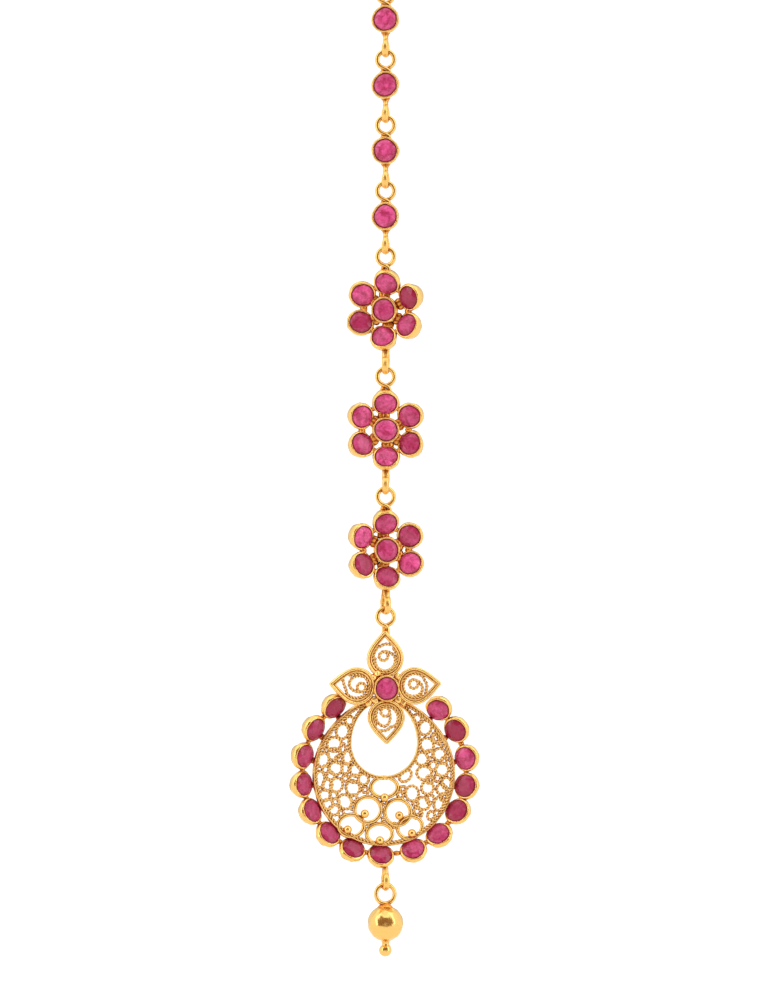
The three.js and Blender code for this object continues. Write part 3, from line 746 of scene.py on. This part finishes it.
def flower(number):
    node = f"flower_setting_{number}"
    eye = Vector((0, 0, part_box(node)[1].z - ring_radius - ring_wire / 2))
    middle = eye - Vector((0, 0, flower_rise))
    turn = radians(flower_turns[number - 1])
    hang = Matrix.Translation(middle) @ Matrix.Rotation(turn, 4, "Z")
    roll = flower_rolls[number - 1]
    seats = [seat(0, 0, -middle_front, 0)]
    seats += [seat(60 * i + roll, side_reach if i % 3 else petal_reach, -petal_front, petal_lean)
              for i in range(6)]
    shares = [outline(10 * number)]
    shares += [outline(10 * number + 1 + i, point=0.2, point_at=pi) for i in range(6)]
    cups = bmesh.new()
    for place, share in zip(seats, shares):
        open_width = 0.4 if place != seats[0] else 0.0
        add_cup(cups, hang @ place, flower_ruby, cup_depth, cup_taper, share, open_width=open_width)
    bezels = metal_piece("bezels", cups, bezel_gold)
    loop = middle - Vector((0, 0, flower_drop))
    loop_angle = turn + radians(flower_loop_turns[number - 1])
    rings = wires("eye", [eye_row(eye, ring_radius, turn, 2.1 * mm)], eye_wire)
    hanger = strap("loop", loop, ring_radius, loop_angle, 2.2 * mm, -0.18)
    spots = []
    draw = random.Random(number)
    for i in range(6):
        size = 0.5 * mm if i % 3 == 1 else 0.36 * mm
        spots.append((hang @ clock(60 * i + 30 + roll, draw.uniform(3.1, 3.35) * mm, 0.05 * mm),
                      (size, 0.5 * mm, size)))
        spots.append((hang @ clock(60 * i, 1.95 * mm, 0.3 * mm), (0.6 * mm, 0.5 * mm, 0.6 * mm)))
        spots.append((hang @ clock(60 * i + draw.choice((-14, 14)), 2.1 * mm, 0.45 * mm),
                      (0.6 * mm, 0.45 * mm, 0.6 * mm)))
    spots += [(eye - Vector((0.26 * mm, 0.1 * mm, 1.6 * mm)), (0.26 * mm, 0.24 * mm, 0.3 * mm)),
              (eye + Vector((0.26 * mm, 0.1 * mm, -1.62 * mm)), (0.24 * mm, 0.24 * mm, 0.3 * mm)),
              (loop + Vector((0, -0.05 * mm, 2.1 * mm)), (0.4 * mm, 0.36 * mm, 0.3 * mm))]
    spots += ridges(loop, 0.52 * mm)
    whole = join([bezels, rings, hanger, solder("solder", spots, 0.34 * mm)], f"flower_{number}")
    settle(whole, "chain", "gold", node)
    for i, (place, share) in enumerate(zip(seats, shares)):
        ruby_piece(f"flower_{number}_ruby_{i}", hang @ place, flower_ruby, share,
                   draw.uniform(0.15, 1.1), "chain", f"flower_{number}_stone_{i}")


for number in range(1, 4):
    flower(number)


# Pendant: where it hangs
# One soldered frame in the plane of its disc, turned a little to the viewer's right.
pendant_turn = radians(10)
pendant_rise = 9.74 * mm
disc_drop = 11.79 * mm
pendant_eye = Vector((0, 0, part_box("pendant_frame")[1].z - ring_radius - ring_wire / 2))
flower_middle = pendant_eye - Vector((0, 0, pendant_rise))
flower_place = Matrix.Translation(flower_middle) @ Matrix.Rotation(pendant_turn, 4, "Z")
disc_oval = 1.012
disc_place = (flower_place @ Matrix.Translation((-0.1 * mm, 0, -disc_drop))
              @ Matrix.Diagonal((disc_oval, 1, 1, 1)))


# Twisted wire
# Two fine wires twisted together and rolled a little flat, as all filigree is filled with.
twist_pitch = 0.95 * mm


def twist_tree():
    """Two strands wound round each row of edges, by whole turns so that a ring's ends meet."""
    tree, start = node_tree("twisted wire", [
        ("Thickness", "NodeSocketFloat"), ("Pitch", "NodeSocketFloat"), ("Metal", "NodeSocketMaterial")])
    rows = add(tree, "GeometryNodeMeshToCurve", {0: start.outputs["Geometry"]})
    step = add(tree, "ShaderNodeMath", {0: start.outputs["Pitch"], 1: 0.1}, operation="MULTIPLY")
    even = add(tree, "GeometryNodeResampleCurve", {0: rows.outputs[0], "Length": step.outputs[0]},
               mode="LENGTH")
    length = add(tree, "GeometryNodeSplineLength")
    turns = add(tree, "ShaderNodeMath", {0: length.outputs[0], 1: start.outputs["Pitch"]},
                operation="DIVIDE")
    whole = add(tree, "ShaderNodeMath", {0: turns.outputs[0]}, operation="ROUND")
    circle = add(tree, "ShaderNodeMath", {0: whole.outputs[0], 1: 2 * pi}, operation="MULTIPLY")
    along = add(tree, "GeometryNodeSplineParameter")
    tilt = add(tree, "ShaderNodeMath", {0: circle.outputs[0], 1: along.outputs["Factor"]},
               operation="MULTIPLY")
    wound = add(tree, "GeometryNodeSetCurveTilt", {0: even.outputs[0], "Tilt": tilt.outputs[0]})
    quarter = add(tree, "ShaderNodeMath", {0: start.outputs["Thickness"], 1: 0.17}, operation="MULTIPLY")
    strand_size = add(tree, "ShaderNodeMath", {0: quarter.outputs[0], 1: 2.05}, operation="MULTIPLY")
    strand = add(tree, "GeometryNodeCurvePrimitiveCircle", {"Resolution": 8,
                                                            "Radius": strand_size.outputs[0]})
    away = add(tree, "ShaderNodeCombineXYZ", {"X": quarter.outputs[0]})
    back = add(tree, "ShaderNodeVectorMath", {0: away.outputs[0], "Scale": -1.0}, operation="SCALE")
    one = add(tree, "GeometryNodeTransform", {0: strand.outputs[0], "Translation": away.outputs[0]})
    two = add(tree, "GeometryNodeTransform", {0: strand.outputs[0], "Translation": back.outputs[0]})
    pair = add(tree, "GeometryNodeJoinGeometry", {0: one.outputs[0]})
    tree.links.new(two.outputs[0], pair.inputs[0])
    rope = add(tree, "GeometryNodeCurveToMesh", {0: wound.outputs[0], 1: pair.outputs[0],
                                                 "Fill Caps": True})
    return finish_tree(tree, start, rope.outputs[0])


def pendant_part(pieces, name):
    """Joins pieces of the pendant's soldered frame into one."""
    return settle(join(pieces, name), "pendant", "gold", "pendant_frame")


twisted_wire = twist_tree()
# The filigree's second colour is painted shade where other gold is near.
filigree_gold = gold_finish("22 carat gold filigree wire, twisted and pickled", "#FFDC90", "#D07A30",
                            0.42, 0.2)
# Painted light and shade: this strip's colour is painted lighter than the other gold so that strips facing the
# dark opening still read bright, and its second colour is painted shade.
strip_gold = gold_finish("22 carat gold strip, stood on edge and pickled", "#FFD886", "#E0944A", 0.26, 1.8)


def flat_mesh(name, paths):
    """Flat paths of across and up as rows of edges, and whether each closes."""
    return edge_mesh(name, [([(x, 0, z) for x, z in row], closed) for row, closed in paths])


def twisted(name, paths, thickness, deepen=1.3, level=0.0, place=disc_place):
    """Twisted wire along flat paths, rolled deeper than it is wide."""
    piece = grow(name, flat_mesh(name, paths), twisted_wire, {
        "Thickness": thickness, "Pitch": twist_pitch, "Metal": filigree_gold})
    for vertex in piece.data.vertices:
        vertex.co.y = vertex.co.y * deepen + level
    piece.data.transform(place)
    return piece


def plain(name, paths, width, depth, level=0.0, place=disc_place, metal=None):
    """Plain strip or wire along flat paths."""
    piece = grow(name, flat_mesh(name, paths), drawn_wire, {
        "Thickness": width, "Step": 0.16 * mm, "Sides": 10, "Unevenness": 0.03 * mm,
        "Metal": metal or polished_gold})
    for vertex in piece.data.vertices:
        vertex.co.y = vertex.co.y * depth / width + level
    piece.data.transform(place)
    return piece


def turned_oval(across, up, wide, tall, lean, steps=24):
    """A closed oval about a place, its top leaning to the right."""
    angle = radians(lean)
    row = []
    for i in range(steps):
        a = 2 * pi * i / steps
        x = wide / 2 * sin(a)
        z = tall / 2 * cos(a)
        row.append((across + x * cos(angle) + z * sin(angle),
                    up - x * sin(angle) + z * cos(angle)))
    return row


# Four-petal flower of the pendant
# Each petal is a double frame of plain strip with twisted wire round its lower half, a curl of the
# same wire, and a bowed wire across it below the tip. A ruby's bezel is soldered over the middle.
petal_tip = 7.75 * mm
petal_base = 1.45 * mm
petal_half = 2.58 * mm
petal_widest = 0.4
petal_strip = 0.5 * mm
petal_inner = 0.36 * mm
petal_twist = 0.46 * mm
petal_tilt = 6
petal_middle = 0.15 * mm
middle_cup_front = 0.75 * mm


def petal_row(longer, inset, steps=10):
    """The petal's outline, drawn in by an inset: two curves up to the tip on each side."""
    tip = petal_tip + longer - 1.35 * inset
    base = petal_base + inset
    half = petal_half - inset
    widest = base + (tip - base) * petal_widest
    low = widest - 0.55 * (widest - base)
    high = widest + 0.36 * (tip - widest)
    shoulder = tip - 0.3 * (tip - widest)

    def bezier(a, b, c, d):
        return [tuple((1 - t) ** 3 * a[k] + 3 * (1 - t) ** 2 * t * b[k] + 3 * (1 - t) * t * t * c[k]
                      + t ** 3 * d[k] for k in (0, 1)) for t in [i / steps for i in range(steps)]]
    right = (bezier((0, base), (0.55 * half, base), (half, low), (half, widest))
             + bezier((half, widest), (half, high), (0.44 * half, shoulder), (0, tip)))
    left = [(-x, z) for x, z in reversed(right[1:])]
    return right + [(0, tip)] + left


def cradle_row(longer, inset, up_to):
    """The petal's outline below a height, from the left side round its base to the right side."""
    row = petal_row(longer, inset)
    top = row.index(max(row, key=lambda point: point[1]))
    right = [point for point in row[:top] if point[1] <= up_to]
    left = [point for point in row[top + 1:] if point[1] <= up_to]
    return left + right


# turn: degrees from straight up, positive to the viewer's right
# across, out: the small ring's middle in the petal, mm, across it and out from the flower's middle
# start: degrees clockwise from outwards where the ring's wire leaves it
# sweep: degrees that it runs on, hugging the frame
# left, middle, right: how far out the wire across the petal stands, mm
# longer: how much the petal's tip reaches past the others', mm
petals = [
    # turn, across, out, start, sweep, left, middle, right, longer
    (-2, -0.2, 4.4, -30, 320, 5.7, 6.05, 5.95, 0.3),
    (85, -0.25, 3.85, -60, 200, 5.3, 5.65, 5.45, 0.0),
    (180, 0.1, 3.2, -90, 210, 5.2, 5.7, 5.75, 0.0),
    (-85, -0.15, 3.4, -90, 200, 5.45, 5.85, 6.1, 0.35),
]
petal_solder = [
    # across, forward, up, half size, mm from the flower's middle
    (-1.25, 0.35, 2.0, 0.5),
    (-1.65, 0.2, 1.55, 0.5),
    (1.55, 0.1, 1.6, 0.5),
    (-1.55, 0.1, -1.55, 0.55),
    (-2.3, 0.0, -2.0, 0.5),
    (1.6, 0.1, -1.55, 0.55),
    (2.35, 0.0, -2.0, 0.5),
]
curl_wire = 0.5 * mm
curl_ring = 0.6 * mm
curl_reach = 1.4 * mm
curl_ease = 110
petal_heart = 3.8 * mm


def curl_row(ring_middle, start, sweep, steps=30):
    """A curl of wire: one small ring, then a sweep that opens out to the petal's frame."""
    row = []
    for i in range(steps):
        a = radians(start + 360 * (i / steps - 1))
        row.append((ring_middle[0] + curl_ring * sin(a), ring_middle[1] + curl_ring * cos(a)))
    for i in range(steps + 1):
        share = i / steps
        a = radians(start + sweep * share)
        ease = min(1, sweep * share / curl_ease)
        ease = ease * ease * (3 - 2 * ease)
        reach = curl_ring + (curl_reach - curl_ring) * ease
        middle = (ring_middle[0] * (1 - ease), ring_middle[1] + (petal_heart - ring_middle[1]) * ease)
        row.append((middle[0] + reach * sin(a), middle[1] + reach * cos(a)))
    return row


def pendant_flower():
    strips = []
    twists = []
    chords = []
    for i, (turn, across, out, start, sweep, left, middle, right, longer) in enumerate(petals):
        place = (flower_place @ Matrix.Rotation(radians(turn), 4, "Y")
                 @ Matrix.Rotation(radians(petal_tilt), 4, "X"))
        row = petal_row(longer * mm, petal_strip / 2)
        strips.append(plain(f"strip_{i}", [(row, True)], petal_strip, 0.7 * mm, petal_middle - 0.1 * mm,
                            place, strip_gold))
        row = petal_row(longer * mm, petal_strip + petal_inner / 2 - 0.04 * mm)
        strips.append(plain(f"inner_{i}", [(row, True)], petal_inner, 0.6 * mm,
                            petal_middle - 0.02 * mm, place, strip_gold))
        cradle = cradle_row(longer * mm, petal_strip + petal_inner + petal_twist / 2 - 0.14 * mm,
                            min(left, right) * mm)
        twists.append(twisted(f"twist_{i}", [(cradle, False)], petal_twist, 1.4, petal_middle, place))
        curl = curl_row((across * mm, out * mm), start, sweep)
        heights = ((-1.35, left - 0.1), (-0.8, left), (0, middle), (0.8, right), (1.35, right - 0.1))
        bow = [(p.x, p.y) for p in smooth_row([Vector((x * mm, z * mm, 0)) for x, z in heights], 4)]
        chords.append(twisted(f"curl_{i}", [(curl, False), (bow, False)], curl_wire, 1.2, petal_middle,
                              place))
    pendant_part(strips + twists + chords, "pendant_flower")

    place = flower_place @ Matrix.Translation((0, -middle_cup_front, 0))
    share = outline(50)
    cup = bmesh.new()
    add_cup(cup, place, flower_ruby, cup_depth, cup_taper, share)
    bezel = metal_piece("bezel", cup, bezel_gold)
    spots = [(flower_place @ Vector((across * mm, -forward * mm, up * mm)),
              (size * mm, 0.45 * mm, size * mm)) for across, forward, up, size in petal_solder]
    pendant_part([bezel, solder("solder", spots, 0.6 * mm, strip_gold)], "pendant_flower_bezel")
    ruby_piece("pendant_ruby", place, flower_ruby, share, 0.7, "pendant", "pendant_stone")


pendant_flower()


# Pendant rings
# A round wire eye is soldered on the top petal's tip, and a loop of flat strap for the drop stands
# across it under the border.
drop_loop_back = 0.3 * mm


def pendant_rings():
    loop = Vector((0, 0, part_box("pendant_frame")[0].z + ring_radius + ring_wire / 2))
    loop += Matrix.Rotation(pendant_turn, 4, "Z") @ Vector((0, drop_loop_back, 0))
    rings = wires("eye", [eye_row(pendant_eye, ring_radius, pendant_turn, 2.6 * mm, 0.2 * mm)], eye_wire)
    hanger = strap("loop", loop, ring_radius, pendant_turn + loop_turn, 1.9 * mm, 0.1)
    spots = [(pendant_eye + Vector((0, -0.05 * mm, -1.75 * mm)), (0.36 * mm, 0.4 * mm, 0.42 * mm)),
             (pendant_eye + Vector((0, -0.3 * mm, -2.25 * mm)), (0.4 * mm, 0.55 * mm, 0.45 * mm)),
             (loop + Vector((0, -0.05 * mm, 1.6 * mm)), (0.42 * mm, 0.4 * mm, 0.45 * mm))]
    pendant_part([rings, hanger, solder("solder", spots)], "pendant_rings")


pendant_rings()


# Pierced disc
# A plain outer strip stands on edge with twisted wire inside it. An open hole, rimmed the same way
# and set high, leaves a crescent that is filled with small soldered rings of twisted wire.
disc_radius = 9.75 * mm
disc_front = 0.3 * mm
rim_strip = 0.42 * mm
rim_twist = 0.48 * mm
hole_radius = 4.46 * mm
hole_rim = 0.62 * mm
horn_width = 0.97 * mm
rim_width = 0.75 * mm
rim_rise = 0.1
hole_stretch = 0.26
filigree_wire = 0.5 * mm
ring_inset = 0.28 * mm
hole_rise = disc_radius - horn_width - hole_radius

# turn: degrees about the hole's centre from straight down, positive to the viewer's right
# across: share of the way from the hole's rim to the disc's rim
# wide, tall: outer size as shares of the disc's radius
# lean: degrees that the top leans to the viewer's right
small_rings = [
    # turn, across, wide, tall, lean
    (-123, 0.57, 0.15, 0.15, 0),
    (-106, 0.47, 0.20, 0.24, 10),
    (-89, 0.56, 0.23, 0.23, 0),
    (-78, 0.50, 0.19, 0.20, 0),
    (-75, 0.81, 0.19, 0.23, 15),
    (-69, 0.11, 0.16, 0.22, 5),
    (-63, 0.46, 0.21, 0.21, 0),
    (-61, 0.89, 0.16, 0.26, 5),
    (-54, 0.74, 0.16, 0.19, 0),
    (-49, 0.56, 0.20, 0.23, 18),
    (-49, 0.87, 0.19, 0.18, 0),
    (-47, 0.09, 0.17, 0.20, -15),
    (-43, 0.89, 0.17, 0.17, 0),
    (-37, 0.85, 0.18, 0.17, -30),
    (-35, 0.34, 0.22, 0.24, -15),
    (-34, 0.61, 0.21, 0.24, -35),
    (-30, 0.11, 0.17, 0.18, -20),
    (25, 0.70, 0.17, 0.17, 0),
    (29, 0.38, 0.21, 0.24, -5),
    (33, 0.07, 0.17, 0.22, 45),
    (33, 0.64, 0.21, 0.20, 30),
    (42, 0.87, 0.16, 0.23, 15),
    (44, 0.52, 0.20, 0.21, 0),
    (51, 0.80, 0.17, 0.18, -30),
    (53, 0.32, 0.24, 0.22, 10),
    (57, 0.87, 0.16, 0.20, -10),
    (65, 0.71, 0.21, 0.21, 0),
    (67, 0.15, 0.21, 0.21, 0),
    (78, 0.66, 0.20, 0.20, 0),
    (87, 0.29, 0.21, 0.23, -30),
    (95, 0.79, 0.14, 0.20, -25),
    (110, 0.54, 0.20, 0.23, 15),
    (126, 0.57, 0.15, 0.15, 0),
]

# the smallest rings, which fill the places between the others and join them
# across, up: mm from the disc's middle
# wide, tall: mm, to the middle of the wire
# lean: degrees that the top leans to the viewer's right
filler_rings = [
    # across, up, wide, tall, lean
    (-7.3, -0.1, 1.1, 1.1, 0),
    (-8.0, 0.8, 0.85, 1.1, 10),
    (-5.3, 0.9, 1.0, 1.5, 0),
    (-6.9, -2.7, 1.1, 0.95, 45),
    (-6.6, -3.6, 0.95, 0.9, 0),
    (-8.5, 3.4, 0.85, 1.05, 30),
    (-6.2, 2.2, 0.95, 1.1, 45),
    (-5.65, 3.65, 0.8, 1.35, 0),
    (-4.1, -0.5, 1.3, 1.1, 0),
    (6.2, 2.8, 0.95, 1.1, 0),
    (6.7, 1.2, 1.05, 1.2, 0),
    (8.2, 1.9, 0.8, 0.9, 0),
    (7.9, 4.3, 0.7, 1.0, -25),
    (6.2, -0.7, 0.95, 1.1, 0),
    (7.3, -0.5, 0.8, 1.05, 0),
    (6.3, -3.4, 1.05, 1.2, 20),
    (8.1, -3.1, 0.8, 1.05, 15),
    (4.5, -5.0, 0.9, 0.9, 0),
    (6.4, -5.6, 0.95, 1.2, 20),
    (6.95, 4.95, 0.8, 1.2, -30),
    (-5.3, -0.45, 0.9, 0.8, 0),
    (-2.6, -2.0, 0.8, 0.8, 0),
    (2.55, -1.95, 0.75, 0.75, 0),
    (-4.15, -3.1, 0.9, 1.0, 0),
    (-1.95, -2.55, 0.7, 0.9, 20),
    (2.2, -2.75, 0.75, 0.95, -20),
    (0.0, -3.75, 0.6, 0.75, 0),
    (0.0, -6.1, 0.6, 0.6, 0),
    (-4.25, -4.3, 0.75, 0.8, 0),
    (4.3, -4.0, 0.75, 0.8, 0),
    (-2.5, -7.0, 0.65, 0.8, -20),
    (1.45, -6.9, 0.6, 0.65, 20),
    (-5.9, -5.2, 0.8, 0.8, 0),
]


def crescent_place(turn, across):
    """A place in the crescent, as across and up from the disc's centre."""
    angle = radians(turn)
    start = hole_radius + hole_rim / 2
    rim = disc_radius - rim_width / 2
    side = hole_rise * sin(angle)
    end = hole_rise * cos(angle) + sqrt(rim * rim - side * side)
    reach = start + (end - start) * across
    return reach * sin(angle), hole_rise - reach * cos(angle)


def drawn_up(up, size, rise, sharp, steps):
    """A closed circle whose upper half is drawn up towards the flower, the more so near its top."""
    row = []
    for i in range(steps):
        angle = 2 * pi * i / steps
        height = cos(angle)
        taller = 1 + rise * height ** sharp if height > 0 else 1
        row.append((size / 2 * sin(angle), up + size / 2 * height * taller))
    return row


def disc_rims():
    """The disc's two rims, each a plain strip and a twisted wire."""
    level = disc_front
    reach = 2 * disc_radius - rim_strip
    outer = plain("outer_strip", [(drawn_up(0, reach, rim_rise, 4, 120), True)], rim_strip, 1.2 * mm,
                  level + 0.6 * mm, metal=strip_gold)
    reach = 2 * (disc_radius - rim_strip) - rim_twist + 0.3 * mm
    outer_twist = twisted("outer_twist", [(drawn_up(0, reach, rim_rise, 4, 120), True)], rim_twist,
                          1.4, level + 0.3 * mm)
    reach = 2 * hole_radius + 0.26 * mm
    hole_strip = plain("hole_strip", [(drawn_up(hole_rise, reach, hole_stretch, 0, 80), True)], 0.26 * mm,
                       0.7 * mm, level + 0.32 * mm, metal=strip_gold)
    reach += 0.5 * mm
    hole_twist = twisted("hole_twist", [(drawn_up(hole_rise, reach, hole_stretch, 0, 80), True)], 0.46 * mm,
                         1.4, level + 0.3 * mm)
    pendant_part([outer, outer_twist, hole_strip, hole_twist], "pendant_rims")


def disc_filigree():
    paths = []
    for turn, across, wide, tall, lean in small_rings:
        x, z = crescent_place(turn, across)
        wide = wide * disc_radius - ring_inset
        tall = tall * disc_radius - ring_inset
        paths.append((turned_oval(x, z, wide, tall, lean), True))
    for across, up, wide, tall, lean in filler_rings:
        paths.append((turned_oval(across * mm, up * mm, wide * mm, tall * mm, lean), True))
    fill = twisted("pendant_filigree", paths, filigree_wire, 1.3, disc_front + 0.35 * mm)
    settle(fill, "pendant", "gold", "pendant_frame")


disc_rims()
disc_filigree()


# Scrolls and their granules
# Six rings of plain polished wire in the lower crescent each hold a granule, a ball of gold melted
# from a snippet of wire and soldered on.
scroll_wire = 0.58 * mm
scroll_depth = 0.62 * mm
scroll_grow = 0.38 * mm
granule_size = 1.18 * mm

# turn, across, wide, tall, lean: as for the small rings
# seat: degrees from straight down to the granule, positive to the viewer's right
# reach: share of the way from the ring's middle to its wire
scrolls = [
    # turn, across, wide, tall, lean, seat, reach
    (0, 0.14, 0.39, 0.30, 0, 0, 1.0),
    (-14, 0.52, 0.39, 0.38, 0, -40, 0.4),
    (11, 0.55, 0.38, 0.38, 0, 20, 0.25),
    (-22, 0.86, 0.38, 0.33, 0, -45, 0.5),
    (17, 0.84, 0.37, 0.32, -20, 15, 0.55),
    (-3, 0.85, 0.38, 0.30, 0, 0, 0.65),
]


def disc_scrolls():
    paths = []
    spots = []
    for turn, across, wide, tall, lean, to_bead, reach in scrolls:
        x, z = crescent_place(turn, across)
        wide = wide * disc_radius + scroll_grow
        tall = tall * disc_radius + scroll_grow
        paths.append((turned_oval(x, z, wide - scroll_wire, tall - scroll_wire, lean, 40), True))
        angle = radians(to_bead)
        out = (min(wide, tall) / 2 - scroll_wire / 2) * reach
        bead = (x + out * sin(angle), z - out * cos(angle))
        size = granule_size / 2
        spots.append((disc_place @ Vector((bead[0], disc_front, bead[1])), (size, size, size)))
    rings = plain("scrolls", paths, scroll_wire, scroll_depth, disc_front + 0.33 * mm)
    beads = solder("granules", spots, 0.03 * mm, polished_gold)
    pendant_part([rings, beads], "pendant_scrolls")


disc_scrolls()


# Ruby border
# Fifteen bezels, spaced by eye, stand round the disc and lean in over its rim, soldered to it and to
# each other. Each wall flares out from a narrow back and shows as a bright crescent round its ruby.
border_ruby = 1.58 * mm
border_reach = 11.1 * mm
border_pitch = 20.15
border_foot = 181.2
# how many degrees each bezel stands further round than an even spacing, from the right over the foot
border_nudges = [0.5, -0.6, 0.2, -0.6, -2.2, -1.6, -1.2, 1.7, 1.6, 1.3, 1.0, 0.4, -0.1, -0.2, 0.2]
border_lean = 35
border_back = 0.55 * mm
border_solder = 0.36 * mm
border_taper = 0.5 * mm
border_lip = 0.31 * mm
rim_joint = 9.75 * mm
rim_joint_back = 1.35 * mm
border_place = disc_place @ Matrix.Translation((0.1 * mm, 0, 0.36 * mm))


def ruby_border():
    cups = bmesh.new()
    spots = []
    turns = [border_foot + (i - 7) * border_pitch + nudge for i, nudge in enumerate(border_nudges)]
    for i, turn in enumerate(turns):
        place = border_place @ seat(turn, border_reach, border_back, border_lean)
        share = outline(70 + i)
        add_cup(cups, place, border_ruby, cup_depth, border_taper, share, border_lip, open_width=1.1)
        tone = random.Random(i).uniform(0.0, 0.85)
        ruby_piece(f"border_ruby_{i + 1:02d}", place, border_ruby, share, tone,
                   "pendant", f"border_stone_{i + 1:02d}")
        spots.append((disc_place @ clock(turn, rim_joint, disc_front + rim_joint_back),
                      (0.5 * mm, 0.5 * mm, 0.45 * mm)))
    for turn, following in zip(turns, turns[1:]):
        size = border_solder + 0.08 * mm * max(0, following - turn - border_pitch)
        middle = clock((turn + following) / 2, border_reach + 0.1 * mm, border_back + 0.5 * mm)
        spots.append((border_place @ middle, (size, 0.5 * mm, border_solder)))
    bezels = metal_piece("bezels", cups, bezel_gold)
    pendant_part([bezels, solder("solder", spots)], "pendant_border")


ruby_border()


# Ball drop
# A ball of thin sheet, raised in two halves and soldered, hangs by a round wire eye and ends in a
# small bead.
drop_ball = 4.86 * mm
drop_bead = 1.7 * mm
drop_neck = 0.36 * mm
drop_eye = 1.3 * mm


def ball_drop():
    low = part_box("ball_drop")[0].z
    back = Matrix.Rotation(pendant_turn, 4, "Z") @ Vector((0, drop_loop_back, 0))
    bead = low + drop_bead / 2
    ball = bead + drop_bead / 2 + drop_neck + drop_ball / 2
    eye = Vector((0, 0, ball + drop_ball / 2 + drop_eye + ring_wire / 2 - 0.02 * mm)) + back
    rows = [(0, -(bead - drop_bead / 2))]
    for degrees in range(-75, 56, 10):
        a = radians(degrees)
        rows.append((drop_bead / 2 * cos(a), -(bead + drop_bead / 2 * sin(a))))
    rows.append((0.5 * mm, -(bead + drop_bead / 2 + 0.05 * mm)))
    for degrees in range(-76, 81, 6):
        a = radians(degrees)
        rows.append((drop_ball / 2 * cos(a), -(ball + drop_ball / 2 * sin(a))))
    rows.append((0, -(ball + drop_ball / 2)))
    mesh = bmesh.new()
    upright = Matrix.Translation(back) @ Matrix.Rotation(radians(-90), 4, "X")
    lathe(mesh, upright, rows, outline(90), 64)
    body = metal_piece("ball", mesh, polished_gold)
    ring = wires("ring", [eye_row(eye, drop_eye, pendant_turn, 1.85 * mm)], eye_wire)
    collar = bmesh.new()
    crown = ball + drop_ball / 2
    rows = [(0, -(crown - 0.4 * mm)), (1.12 * mm, -(crown - 0.28 * mm)), (0.92 * mm, -(crown - 0.06 * mm)),
            (0.7 * mm, -(crown + 0.12 * mm)), (0.58 * mm, -(crown + 0.32 * mm)), (0, -(crown + 0.42 * mm))]
    lathe(collar, upright, rows, outline(91), 40)
    shoulder = metal_piece("collar", collar, solder_gold)
    settle(join([body, ring, shoulder], "ball_and_eye"), "pendant", "gold", "ball_drop")


ball_drop()
